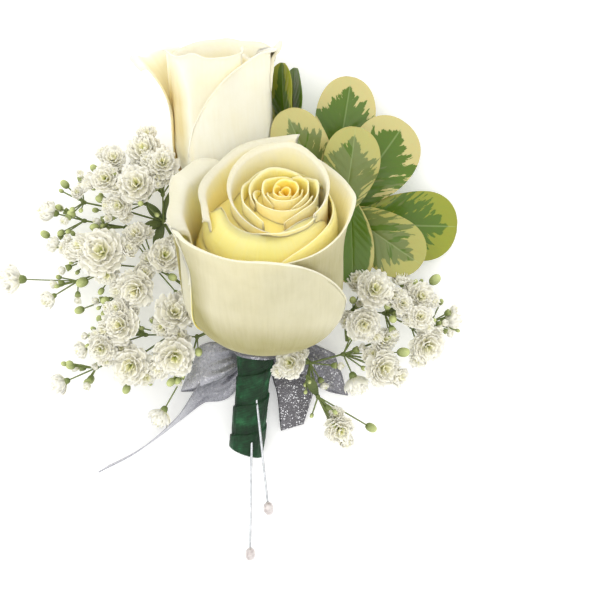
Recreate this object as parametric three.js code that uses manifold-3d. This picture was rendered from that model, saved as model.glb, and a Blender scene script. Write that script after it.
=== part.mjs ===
// A boutonniere laid on its back: two cream roses, variegated pittosporum and gypsophila, bound with
// green floral tape and a silver ribbon, with two pearl-headed pins pushed into the tape.
// Millimetres, +Z up. +Y runs from the cut stems towards the flowers, and the surface it lies on is Z = 0.
import * as THREE from "three";
import { mergeVertices } from "three/addons/utils/BufferGeometryUtils.js";
import Module from "manifold-3d";

const wasm = await Module();
wasm.setup();

// Driving dimensions

const CLEARANCE = 0.3;
const PETAL_THICKNESS = 0.7;
const LEAF_THICKNESS = 0.7;
const RIBBON_THICKNESS = 0.6;
const RIBBON_HALF_WIDTH = 7.5;
const BAND_HALF_WIDTH = 1.9;
const BAND_INNER_RADIUS = 6.93;
const BAND_THICKNESS = 0.72;
const KNOT_LENGTH = 5.2;
const KNOT_RADIUS = 2.65;
const WRAP_RADIUS = 4.75;
const WRAP_FLARE = 1.35;
const WRAP_LAP_STEP = 0.45;
const WRAP_LAP_PITCH = 9.5;
const WRAP_SQUEEZE = 0.25;
const WRAP_CUT_SLANT = 0.22;
const ROSE_STEM_RADIUS = 1.75;
const ROSE_STEM_SIDES = 8;
const TWIG_RADIUS = 1;
const TWIG_SIDES = 6;
const LEAF_STALK_RADIUS = 0.8;
const SPRAY_STEM_RADIUS = 0.5;
const SPRAY_SIDES = 4;
const PEDICEL_RADIUS = 0.42;
const NODE_RADIUS = 1;
const PIN_LENGTH = 38;
const PIN_RADIUS = 0.375;
const PIN_POINT = 3;
const PIN_SIDES = 8;
const PEARL_RADIUS = 1.6;
const PEARL_HALF_LENGTH = 2.1;
const PEARL_SIDES = 10;
const SMALLEST_STEP = 0.05;

// The tape is wound round the line from the cut end to the neck.
const CUT_END = v3(-5.7, -29.4, 4.6);
const NECK = v3(-2.7, 0.9, 13);
const WRAP_PAST_NECK = 3.4;

// The front rose faces up and forward, and the back rose lies nearly flat.
const FRONT_ROSE = { base: v3(0.9, 6.9, 18), lean: -1.7, rise: 40, height: 51, radius: 25 };
const BACK_ROSE = { base: v3(-11.7, 45.6, 8), lean: -3, rise: 14, height: 47, radius: 15.2 };

// Small helpers

function v3(x, y, z) {
  return new THREE.Vector3(x, y, z);
}

function radians(degrees) {
  return (degrees * Math.PI) / 180;
}

function mix(a, b, t) {
  return a + (b - a) * t;
}

function ramp(value, from, to) {
  return Math.min(1, Math.max(0, (value - from) / (to - from)));
}

// A repeatable draw between 0 and 1.
function drawFrom(seed) {
  let state = seed;
  return () => {
    state = (state * 1664525 + 1013904223) % 4294967296;
    return state / 4294967296;
  };
}

// A closed solid from points and triangles, turned round if its faces point inwards.
function solidFrom(positions, triangles) {
  const make = (triVerts) =>
    new wasm.Manifold(new wasm.Mesh({ numProp: 3, vertProperties: positions, triVerts }));
  const made = make(new Uint32Array(triangles));
  if (made.volume() > 0) return made;
  const turned = new Uint32Array(triangles);
  for (let i = 0; i < turned.length; i += 3) {
    [turned[i + 1], turned[i + 2]] = [turned[i + 2], turned[i + 1]];
  }
  return make(turned);
}

function solidOf(geometry) {
  const bare = geometry.clone();
  bare.deleteAttribute("normal");
  bare.deleteAttribute("uv");
  const merged = mergeVertices(bare, 1e-4);
  return solidFrom(new Float32Array(merged.attributes.position.array), merged.index.array);
}

function joined(solids) {
  return wasm.Manifold.union(solids);
}

// A sheet with thickness: a grid of points, laid off along the surface's own normal to both sides.
// Where it would sink below the surface that the object lies on, it is pressed flat against it.
function sheet(point, columns, rows, thickness) {
  const step = 1e-3;
  const across = columns.length;
  const count = across * rows.length;
  const positions = new Float32Array(count * 6);
  rows.forEach((v, j) => {
    columns.forEach((u, i) => {
      const alongU = point(u + step, v).sub(point(u - step, v));
      const alongV = point(u, v + step).sub(point(u, v - step));
      const half = alongU.cross(alongV).setLength(thickness / 2);
      const middle = point(u, v);
      const upper = middle.clone().add(half);
      const lower = middle.clone().sub(half);
      const [low, high] = upper.z < lower.z ? [upper, lower] : [lower, upper];
      low.z = Math.max(low.z, 0);
      high.z = Math.max(high.z, thickness);
      upper.toArray(positions, 3 * (j * across + i));
      lower.toArray(positions, 3 * (count + j * across + i));
    });
  });
  const triangles = [];
  for (let j = 0; j + 1 < rows.length; j++) {
    for (let i = 0; i + 1 < across; i++) {
      const a = j * across + i;
      const b = a + 1;
      const c = b + across;
      const d = a + across;
      triangles.push(a, b, c, a, c, d);
      triangles.push(count + a, count + c, count + b, count + a, count + d, count + c);
    }
  }
  const last = count - across;
  const rim = [];
  for (let i = 0; i + 1 < across; i++) rim.push([i, i + 1], [last + i + 1, last + i]);
  for (let j = 0; j < last; j += across) rim.push([j + across, j], [j + across - 1, j + 2 * across - 1]);
  for (const [a, b] of rim) triangles.push(b, a, count + a, b, count + a, count + b);
  return solidFrom(positions, triangles);
}

// The triangles between two rings that may have different numbers of points, going round both at once.
function band(lower, lowerCount, upper, upperCount) {
  const triangles = [];
  let i = 0;
  let j = 0;
  const lowerSteps = lowerCount > 1 ? lowerCount : 0;
  const upperSteps = upperCount > 1 ? upperCount : 0;
  while (i < lowerSteps || j < upperSteps) {
    const low = lower + (i % lowerCount);
    const high = upper + (j % upperCount);
    if (j < upperSteps && (i >= lowerSteps || (j + 1) * lowerCount <= (i + 1) * upperCount)) {
      triangles.push(low, upper + ((j + 1) % upperCount), high);
      j += 1;
    } else {
      triangles.push(low, lower + ((i + 1) % lowerCount), high);
      i += 1;
    }
  }
  return triangles;
}

// A closed body through rings of points. A first or last ring of one point closes it in that point.
function loft(rings) {
  const points = rings.flat();
  const triangles = [];
  let start = 0;
  for (let k = 0; k + 1 < rings.length; k++) {
    const next = start + rings[k].length;
    triangles.push(...band(start, rings[k].length, next, rings[k + 1].length));
    start = next;
  }
  for (let i = 1; i + 1 < rings[0].length; i++) triangles.push(0, i + 1, i);
  for (let i = 1; i + 1 < rings.at(-1).length; i++) triangles.push(start, start + i, start + i + 1);
  return solidFrom(new Float32Array(points.flatMap((p) => p.toArray())), triangles);
}

// A round bar of the given number of sides along a curve.
function tube(points, radius, sides, steps) {
  const section = new THREE.Shape();
  for (let i = 0; i < sides; i++) {
    const turn = (2 * Math.PI * i) / sides;
    const [x, y] = [radius * Math.cos(turn), radius * Math.sin(turn)];
    if (i === 0) section.moveTo(x, y);
    else section.lineTo(x, y);
  }
  const curve = points.length === 3
    ? new THREE.QuadraticBezierCurve3(...points)
    : new THREE.CatmullRomCurve3(points);
  return solidOf(new THREE.ExtrudeGeometry(section, { steps, extrudePath: curve, bevelEnabled: false }));
}

// A body turned on its own Z axis, from a profile of radius and height, at a place and along a direction.
function turned(profile, sides, place, direction) {
  const geometry = new THREE.LatheGeometry(profile.map(([r, z]) => new THREE.Vector2(r, z)), sides);
  const turn = new THREE.Quaternion().setFromUnitVectors(v3(0, 1, 0), direction.clone().normalize());
  geometry.applyQuaternion(turn);
  geometry.translate(place.x, place.y, place.z);
  return solidOf(geometry);
}

// A straight frame: the direction along it, the one across it to the right, and the one away to its back.
function frameAlong(direction) {
  const along = direction.clone().normalize();
  const right = v3(1, 0, 0).addScaledVector(along, -along.x).normalize();
  const back = new THREE.Vector3().crossVectors(along, right).normalize();
  return { along, right, back };
}

// Roses

function roseFrame(rose) {
  const rise = radians(rose.rise);
  const lean = radians(rose.lean);
  const along = v3(Math.sin(lean) * Math.cos(rise), Math.cos(lean) * Math.cos(rise), Math.sin(rise));
  return { ...frameAlong(along), base: rose.base };
}

function inRose(frame, right, back, up) {
  return frame.base
    .clone()
    .addScaledVector(frame.right, right)
    .addScaledVector(frame.back, back)
    .addScaledVector(frame.along, up);
}

// The bowl that the outer petals lie on: full and round below, then nearly straight, a little flared.
function bowl(share, fullness) {
  const widest = 0.45;
  if (share < widest) return (1 - (1 - Math.max(share, 0) / widest) ** fullness) ** (1 / fullness);
  return 1 + 0.04 * ((share - widest) / (1 - widest)) ** 1.5;
}

const PETAL_ROWS = [0, 0.28, 0.6, 0.86, 1];
const RESTING_PETAL_ROWS = [0, 0.28, 0.43, 0.6, 0.86, 1];
const OUTER_COLUMNS = [-1, -0.84, -0.42, 0, 0.42, 0.84, 1];
const INNER_COLUMNS = [-1, -0.5, 0, 0.5, 1];
const LIP_START = 0.86;
const SIDE_START = 0.84;
const RIM_FALL_POWER = 3.2;
const ROOT_HEIGHT = 4;
const ROOT_SINK = 3;

// One petal on the bowl. It is centred at an angle round the rose (0 right, 90 back, -90 front) and spans
// half that many degrees to each side. Its rim falls towards the sides and has a small point in the middle.
// The lip rolls outwards on an arc of roll mm through the given turn, and so do the two side edges.
function petalPoint(rose, frame, petal, u, v) {
  const { angle, half, radius, height, fall = [0.1, 0.1], point = 1.5 } = petal;
  const { roll = 2, turn = 80, side = [0, 0], centre = [0, 0], open = 0 } = petal;
  const edge = Math.sign(u);
  const pick = (pair) => (edge < 0 ? pair[0] : pair[1]);
  const inner = Math.min(Math.abs(u), SIDE_START) / SIDE_START;
  const sideTurn = radians(100) * ramp(Math.abs(u), SIDE_START, 1);
  const rim = height * (1 - pick(fall) * Math.abs(u) ** RIM_FALL_POWER) + point * Math.exp(-((u / 0.16) ** 2));
  const lipTurn = radians(turn) * ramp(v, LIP_START, 1);
  const lipBase = rim - roll;
  const narrow = mix(0.62, 1, Math.sin(ramp(v, 0, 0.6) * Math.PI * 0.5));
  const up = mix(ROOT_HEIGHT, lipBase, Math.min(v / LIP_START, 1)) + roll * Math.sin(lipTurn);
  const share = Math.min(up, lipBase) / rose.height;
  const sink = ROOT_SINK * (1 - ramp(v, 0, 0.28)) ** 2;
  const sideRoll = pick(side) * ramp(v, 0.15, 0.5);
  const out =
    radius * bowl(share, 2.5) * (1 + open * share ** 2) - sink +
    roll * (1 - Math.cos(lipTurn)) + sideRoll * (1 - Math.cos(sideTurn));
  const along = (sideRoll * Math.sin(sideTurn) * edge) / Math.max(out, 4);
  const at = radians(angle) + radians(half) * narrow * inner * edge + along;
  const settle = ramp(share, 0.1, 0.6);
  return inRose(
    frame,
    out * Math.cos(at) + centre[0] * settle,
    out * Math.sin(at) + centre[1] * settle,
    up,
  );
}

// A solid heart that the petals stand out of: it fills the bowl below and ends well under the rim.
function roseHeart(rose, frame, heart) {
  const sides = 12;
  const rings = heart.map(([up, radius, backward]) =>
    Array.from({ length: sides }, (_, i) => {
      const turn = (2 * Math.PI * i) / sides;
      const place = inRose(frame, radius * Math.cos(turn), radius * Math.sin(turn) + backward, up);
      place.z = Math.max(place.z, 0.5 * PETAL_THICKNESS);
      return place;
    }),
  );
  return loft(rings);
}

function roseBloom(rose, petals, heart) {
  const frame = roseFrame(rose);
  const blades = petals.map((petal) =>
    sheet(
      (u, v) => petalPoint(rose, frame, petal, u, v),
      petal.side ? OUTER_COLUMNS : INNER_COLUMNS,
      petal.resting ? RESTING_PETAL_ROWS : PETAL_ROWS,
      PETAL_THICKNESS,
    ),
  );
  return joined([roseHeart(rose, frame, heart), ...blades]);
}

// Petals of the front rose from the outside in. The left ones lean out and the inner ones wind up.
const FRONT_BUD = [2.2, 4.5];
const FRONT_PETALS = [
  { angle: -110, half: 60, radius: 25, height: 50.5, fall: [0.02, 0.5], roll: 2.2, turn: 150, side: [1, 1] },
  { angle: -160, half: 40, radius: 26.2, height: 44, fall: [0.2, 0.3], roll: 2, turn: 130, side: [0.8, 1.6] },
  { angle: 163, half: 39, radius: 24.2, height: 51, roll: 3, turn: 140, open: 0.06 },
  { angle: -14, half: 56, radius: 23.9, height: 47, fall: [0.01, 0.06], point: 2.5, roll: 2, turn: 120 },
  { angle: 62, half: 46, radius: 22.8, height: 54, point: 2, roll: 1.8, turn: 90 },
  { angle: 120, half: 46, radius: 21.7, height: 55, point: 1.6, roll: 1.6, turn: 80 },
  { angle: -82, half: 58, radius: 20.4, height: 46, roll: 1.2, turn: 60, point: 1 },
  { angle: 8, half: 46, radius: 17.2, height: 48, roll: 1, turn: 60, point: 1, centre: FRONT_BUD },
  { angle: 150, half: 54, radius: 14.2, height: 49.5, roll: 1, turn: 70, point: 1.2, centre: FRONT_BUD },
  { angle: 52, half: 54, radius: 13, height: 50.5, roll: 1, turn: 70, point: 1.2, centre: FRONT_BUD },
  { angle: -78, half: 70, radius: 11.2, height: 45.5, roll: 1, turn: 70, point: 0.6, centre: FRONT_BUD },
  { angle: 165, half: 60, radius: 8.6, height: 49, roll: 0.8, turn: 70, point: 0.6, centre: FRONT_BUD },
  { angle: 40, half: 60, radius: 7.4, height: 50, roll: 0.8, turn: 70, point: 0.6, centre: FRONT_BUD },
  { angle: -90, half: 76, radius: 5.2, height: 48.5, roll: 0.7, turn: 60, point: 0.4, centre: FRONT_BUD },
];
const FRONT_HEART = [
  [0, 5, 0], [3, 13, 0], [8, 18.8, 0], [16, 21.8, 0], [23, 21.6, 0], [28, 17.5, 1], [34, 10.5, 3.6],
  [46, 2.6, 4.5],
];

// Petals of the back rose: a half-open bud of long petals with rolled edges. It rests on one of them, which
// is pressed flat where it touches the surface.
const BACK_BUD = [0.5, 0.5];
const BACK_PETALS = [
  { angle: -38, half: 62, radius: 15, height: 46, fall: [0.2, 0.06], roll: 1.8, turn: 140, side: [1.4, 1] },
  { angle: -150, half: 52, radius: 14, height: 46, fall: [0.08, 0.05], roll: 1.6, turn: 130 },
  { angle: 176, half: 30, radius: 14.9, height: 45, roll: 4, turn: 130, open: 0.26, point: 2.5 },
  { angle: 100, half: 58, radius: 15, height: 46, roll: 1.6, turn: 120, resting: true },
  { angle: 22, half: 42, radius: 13.9, height: 47, roll: 2.6, turn: 130, open: 0.05, point: 2.5 },
  { angle: -80, half: 62, radius: 11.2, height: 45.5, roll: 1, turn: 90, centre: BACK_BUD },
  { angle: 50, half: 60, radius: 10, height: 46, roll: 1, turn: 90, centre: BACK_BUD },
  { angle: 170, half: 60, radius: 8.8, height: 46, roll: 0.8, turn: 90, centre: BACK_BUD },
  { angle: -60, half: 74, radius: 5.6, height: 45.5, roll: 0.6, turn: 80, centre: BACK_BUD },
];
const BACK_HEART = [
  [0, 3.6, 0], [3, 8, 0], [8, 11.6, 0], [16, 13.2, 0], [24, 13, 0], [31, 8, 0.4], [42, 1.6, 0.5],
];

// The green cup under a bloom, its five pointed sepals, which lie along the petals, and the stem below.
function roseCalyx(rose, cup, sepal, stem) {
  const frame = roseFrame(rose);
  const cupBody = turned(
    [[0, -cup.height], [ROSE_STEM_RADIUS + 0.1, -cup.height], [cup.radius, -0.45 * cup.height],
      [cup.radius, -CLEARANCE], [0, -CLEARANCE]],
    10,
    rose.base,
    frame.along,
  );
  const sepals = Array.from({ length: 5 }, (_, i) => {
    const angle = radians(sepal.angle + 72 * i);
    const point = (u, v) => {
      const rest = Math.max(1 - v, 0);
      const out = mix(cup.radius * 0.5, sepal.reach, v);
      const width = sepal.width * rest ** 0.7 * (1 - 0.35 * rest ** 4) + 0.25;
      const turn = angle + (u * width) / out;
      const height = -0.8 + sepal.lift * ramp(v, 0.4, 1);
      return inRose(frame, out * Math.cos(turn), out * Math.sin(turn), height);
    };
    return sheet(point, [-1, 0, 1], [0, 0.4, 0.7, 1], PETAL_THICKNESS);
  });
  return joined([cupBody, ...sepals, stem]);
}

// The bound stems

const wrapFrame = frameAlong(NECK.clone().sub(CUT_END));
const WRAP_LENGTH = NECK.distanceTo(CUT_END) + WRAP_PAST_NECK;

// A place in the bundle: how far up from the cut end, to the right of its middle, and to the front.
function inWrap(up, right, front) {
  return CUT_END.clone()
    .addScaledVector(wrapFrame.along, up)
    .addScaledVector(wrapFrame.right, right)
    .addScaledVector(wrapFrame.back, -front);
}

const NECK_UP = NECK.distanceTo(CUT_END);
const PAST_BAND = NECK_UP + 4.4;
const SPRAY_START = 22;

// Where each stem starts and ends its straight stretch in the bundle: right and front of the middle, and up.
const BUNDLE = {
  front_rose: { from: [1.9, 0.6, 1], to: [3.37, 1.55, 35] },
  back_rose: { from: [-1.9, -1, 1], to: [-2.6, -2.2, PAST_BAND + 1] },
  twig: { from: [1, -3.2, SPRAY_START], to: [2.2, -4.2, PAST_BAND] },
  upper_left: { from: [-3.5, 1.1, SPRAY_START], to: [-4.9, 1, PAST_BAND] },
  middle_left: { from: [-1.2, 1.3, SPRAY_START], to: [-2.5, 2.2, PAST_BAND] },
  lower_left: { from: [-2.5, 2.7, SPRAY_START], to: [-3.4, 3.4, PAST_BAND] },
  right: { from: [3.3, -1.7, SPRAY_START], to: [4.9, -2.2, PAST_BAND] },
};

function bundleLine(name) {
  const { from, to } = BUNDLE[name];
  return [inWrap(from[2], from[0], from[1]), inWrap(to[2], to[0], to[1])];
}

// A straight bar between two points.
function bar(from, to, radius, sides) {
  const span = to.clone().sub(from);
  const geometry = new THREE.CylinderGeometry(radius, radius, span.length(), sides);
  geometry.translate(0, 0.5 * span.length(), 0);
  geometry.applyQuaternion(new THREE.Quaternion().setFromUnitVectors(v3(0, 1, 0), span.normalize()));
  return solidOf(geometry.translate(from.x, from.y, from.z));
}

// A stem: straight in the bundle, then a slightly thinner curve that leaves the straight part's end.
function boundStem(name, beyond, radius, sides, steps) {
  const [from, to] = bundleLine(name);
  const straight = bar(from, to, radius, sides);
  if (!beyond.length) return straight;
  const inside = to.clone().lerp(from, 0.06);
  return joined([straight, tube([inside, to, ...beyond], 0.95 * radius, sides, steps)]);
}

// The plain channel in the tape for a stem's straight stretch, open past the tape's upper end.
function channel(name, radius, sides) {
  const [from, to] = bundleLine(name);
  const reach = to.clone().lerp(from, -0.2);
  const below = from.clone().lerp(to, -0.012);
  return bar(below, reach, (radius + CLEARANCE) / Math.cos(Math.PI / sides), sides);
}

const BACK_STEM = [v3(-6, 14, 7.8), v3(-8.3, 27, 3.4), v3(-10.6, 39, 5.2), v3(-11.7, 44.4, 7.5)];

// The tape's radius: each turn laps over the last one, so it steps along a helix. It is squeezed out of round
// and flares at the neck.
function wrapRadius(up, turn) {
  const share = up / WRAP_LENGTH;
  const flare = WRAP_FLARE * ramp(share, 0.66, 0.95);
  const lap = (up / WRAP_LAP_PITCH + turn / (2 * Math.PI)) % 1;
  return WRAP_RADIUS + flare + WRAP_LAP_STEP * lap + WRAP_SQUEEZE * Math.cos(2 * turn + 3 * share);
}

function tapeBody() {
  const sides = 14;
  const rows = 10;
  const rings = Array.from({ length: rows + 1 }, (_, j) =>
    Array.from({ length: sides }, (_unused, i) => {
      const turn = (2 * Math.PI * i) / sides;
      const slant = WRAP_CUT_SLANT * Math.cos(turn) * (1 - j / rows) ** 4;
      const up = (WRAP_LENGTH * j) / rows;
      const radius = wrapRadius(up, turn);
      const place = inWrap(up - slant * radius, radius * Math.cos(turn), radius * Math.sin(turn));
      place.z = Math.max(place.z, 0);
      return place;
    }),
  );
  return loft(rings);
}

// Pins

// Each pin runs from the middle of its pearl towards the place where it goes into the tape.
const PINS = [
  { name: "pin_1", pearl: v3(1, -46.3, 10.9), towards: v3(-2.3, -16.35, 13) },
  { name: "pin_2", pearl: v3(-4.5, -60.1, 10.2), towards: v3(-4.1, -27.2, 9.9) },
];

function pinDirection(pin) {
  return pin.towards.clone().sub(pin.pearl).normalize();
}

// The shank is pointed. The channel for it is the same shape, wider and longer by the clearance.
function pinShank(pin, extra) {
  const radius = PIN_RADIUS + extra;
  const length = PIN_LENGTH + extra;
  const profile = [[0, 0], [radius, 0], [radius, length - PIN_POINT], [0.4 * radius, length], [0, length]];
  return turned(profile, PIN_SIDES, pin.pearl, pinDirection(pin));
}

function pinPearl(pin) {
  const direction = pinDirection(pin);
  const rings = 5;
  const profile = Array.from({ length: rings + 1 }, (_, i) => {
    const turn = (Math.PI * i) / rings;
    return [PEARL_RADIUS * Math.sin(turn), -PEARL_HALF_LENGTH * Math.cos(turn)];
  });
  const boreRadius = PIN_RADIUS + CLEARANCE;
  const boreFloor = -CLEARANCE;
  const bore = turned(
    [[0, boreFloor], [boreRadius, boreFloor], [boreRadius, 2 * PEARL_HALF_LENGTH], [0, 2 * PEARL_HALF_LENGTH]],
    PIN_SIDES,
    pin.pearl,
    direction,
  );
  return turned(profile, PEARL_SIDES, pin.pearl, direction).subtract(bore);
}

// Pittosporum leaves

// One leaf from its base to its tip. It is broadest past the middle, its edge waves, it is cupped along the
// midrib and bends down towards the tip. Roll turns its face round the line from base to tip.
function leafPoint(leaf, u, v) {
  const { base, tip, width, roll = 0, cup = 0.12, bend = 2, wave = 0.9, phase = 0 } = leaf;
  const along = tip.clone().sub(base);
  const length = along.length();
  along.normalize();
  const flat = new THREE.Vector3().crossVectors(along, v3(0, 0, 1)).normalize();
  flat.applyAxisAngle(along, radians(roll));
  const face = new THREE.Vector3().crossVectors(flat, along).normalize();
  const shape = Math.max(v * (1 - v), 0) ** 0.5 * (1.25 + 1.3 * v) * 0.88;
  const half = 0.5 * width * shape + 0.55 * (1 - v);
  const lift = cup * half * Math.abs(u) ** 1.5 - bend * v ** 2 + bend * 0.6 * Math.sin(Math.PI * v);
  const ripple = wave * Math.sin(9 * v + phase + 1.4 * u) * Math.abs(u) ** 2 * Math.sin(Math.PI * v);
  return base.clone()
    .addScaledVector(along, length * v)
    .addScaledVector(flat, half * u)
    .addScaledVector(face, lift + ripple);
}

const LEAF_COLUMNS = [-1, -0.55, 0, 0.55, 1];
const LEAF_ROWS = [0, 0.24, 0.5, 0.76, 0.985];
const ROSETTE = v3(21, 41, 10.5);
const LEAVES = [
  { base: v3(20.5, 52, 8), tip: v3(26.6, 84.5, 10), width: 20, roll: 6, phase: 0.5 },
  { base: v3(18.5, 46, 14.5), tip: v3(6, 73.4, 20.5), width: 18.5, roll: 0, phase: 2 },
  { base: v3(23.5, 43, 16.5), tip: v3(27.4, 68.2, 22), width: 19, roll: 8, phase: 1 },
  { base: v3(24, 45, 10.5), tip: v3(43.6, 71, 9.5), width: 25, roll: 8, phase: 3, wave: 1.3 },
  { base: v3(26, 40, 9.5), tip: v3(58.6, 38.4, 3), width: 25, roll: 6, phase: 4, wave: 1.2, bend: 3 },
  { base: v3(24.5, 43, 14), tip: v3(46.8, 27, 17), width: 20, roll: 8, phase: 5 },
  { base: v3(23, 41, 12), tip: v3(31, 21.5, 13.5), width: 15, roll: -30, phase: 0, cup: 0.25 },
];
const TWIG = [
  v3(3.6, 12.5, 6),
  v3(11.5, 25, 3.8),
  v3(18, 35, 6.8),
  v3(22, 43, 11),
  v3(22.3, 47, 12.5),
];
const SIDE_LEAVES = [
  { base: v3(9.5, 58, 7.5), tip: v3(3.6, 87.6, 13.5), width: 17, roll: -62, phase: 1, wave: 0.7 },
  { base: v3(11, 57, 6.5), tip: v3(7.4, 86.4, 9.5), width: 16, roll: -66, phase: 3, wave: 0.7 },
];
const SIDE_TWIG = [v3(22, 31, 4), v3(17.5, 42, 4.2), v3(12.5, 52, 5.5), v3(10, 60, 7.6)];

function leafySprig(leaves, twig, foot) {
  const blades = leaves.map((leaf) =>
    sheet((u, v) => leafPoint(leaf, u, v), LEAF_COLUMNS, LEAF_ROWS, LEAF_THICKNESS),
  );
  const stalks = leaves.map((leaf) => {
    const inBlade = leafPoint(leaf, 0, 0.12);
    const middle = foot.clone().lerp(leaf.base, 0.5);
    return tube([foot, middle, inBlade], LEAF_STALK_RADIUS, 4, 2);
  });
  return joined([twig, ...stalks, ...blades]);
}

// Gypsophila

// A head in one closed body with its stalk. The stalk is three-sided from the fork to the head, and the
// head's rings go on from it. All rings stand in the upright plane through the stalk.
function headOnStalk(from, head, facing, rings) {
  const across = new THREE.Vector3().crossVectors(head.clone().sub(from), v3(0, 0, 1)).normalize();
  const ring = (centre, direction, sides, place) => {
    const up = direction.clone().normalize();
    const other = new THREE.Vector3().crossVectors(up, across);
    return Array.from({ length: sides }, (_, i) => {
      const turn = (2 * Math.PI * (i + 0.5)) / sides;
      const [reach, height] = place(i);
      return centre.clone()
        .addScaledVector(across, reach * Math.cos(turn))
        .addScaledVector(other, reach * Math.sin(turn))
        .addScaledVector(up, height);
    });
  };
  const foot = head.clone().addScaledVector(facing, -rings.below);
  const knee = from.clone().lerp(foot, 0.55).add(v3(0, 0, -0.06 * from.distanceTo(foot)));
  const stalk = () => [PEDICEL_RADIUS, 0];
  const bodies = [
    ring(from, knee.clone().sub(from), 3, stalk),
    ring(knee, foot.clone().sub(from), 3, stalk),
    ring(foot, facing, 3, stalk),
    ...rings.places.map((place) => ring(head, facing, rings.sides, place)),
    [head.clone().addScaledVector(facing, rings.above)],
  ];
  return loft(bodies);
}

// A double flower: a ring of spread petals below, a ring of raised ones above it, turned by half a petal,
// and a dimple in the middle. Tips and gaps take turns round each ring.
function flower(from, place, facing, radius, draw) {
  const petals = 6;
  const ring = (tip, tipHeight, gap, gapHeight, shift) => {
    const reaches = Array.from({ length: 2 * petals }, () => 0.92 + 0.16 * draw());
    return (i) => {
      const isTip = (i + shift) % 2 === 0;
      return isTip ? [tip * radius * reaches[i], tipHeight * radius] : [gap * radius, gapHeight * radius];
    };
  };
  const small = radius < 4;
  const places = [ring(1, 0.16, 0.72, -0.1, 0), ring(0.7, 0.66, 0.46, 0.5, 1)];
  if (!small) places.splice(1, 0, ring(0.56, 0.26, 0.62, 0.22, 1));
  const rings = { sides: 2 * petals, below: 0.62 * radius, above: 0.42 * radius, places };
  return headOnStalk(from, place, facing, rings);
}

// A bud is a drop in line with its stalk.
function bud(from, place, facing, radius) {
  const rings = { sides: 6, below: 1.2 * radius, above: 1.5 * radius, places: [() => [radius, 0]] };
  return headOnStalk(from, place, facing, rings);
}

function narrowLeaf(from, to) {
  const along = to.clone().sub(from);
  const flat = new THREE.Vector3().crossVectors(along, v3(0, 0, 1)).normalize();
  const point = (u, v) =>
    from.clone()
      .addScaledVector(along, v)
      .addScaledVector(flat, u * (0.35 + 1.3 * Math.sin(Math.PI * Math.min(v, 0.96))))
      .add(v3(0, 0, 0.12 * along.length() * Math.sin(Math.PI * v)));
  return sheet(point, [-1, 1], [0, 0.35, 0.7, 1], 0.6);
}

// A spray is a tree of forks. Each fork has a place, its heads, and the forks that grow on from it.
// A head is [kind, x, y, z, radius]: an open flower faces mostly up, a side one along its stalk.
// A small swollen node joins the stalks at each fork.
function growFork(fork, from, solids, draw) {
  const place = v3(...fork.at);
  const knot = new THREE.OctahedronGeometry(NODE_RADIUS).translate(place.x, place.y, place.z);
  solids.push(solidOf(knot));
  const middle = from.clone().lerp(place, 0.5).add(v3(0, 0, 0.06 * from.distanceTo(place)));
  if (from.distanceTo(place) > 0.5) solids.push(tube([from, middle, place], PEDICEL_RADIUS, 3, 2));
  for (const [kind, x, y, z, radius] of fork.heads) {
    const head = v3(x, y, z);
    if (kind === "leaf") {
      solids.push(narrowLeaf(place, head));
      continue;
    }
    const facing = head.clone().sub(place).normalize();
    if (kind === "open") facing.multiplyScalar(0.55).add(v3(0, 0, 1)).normalize();
    if (kind === "bud") solids.push(bud(place, head, facing, radius));
    else solids.push(flower(place, head, facing, radius, draw));
  }
  for (const next of fork.forks ?? []) growFork(next, place, solids, draw);
}

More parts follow.
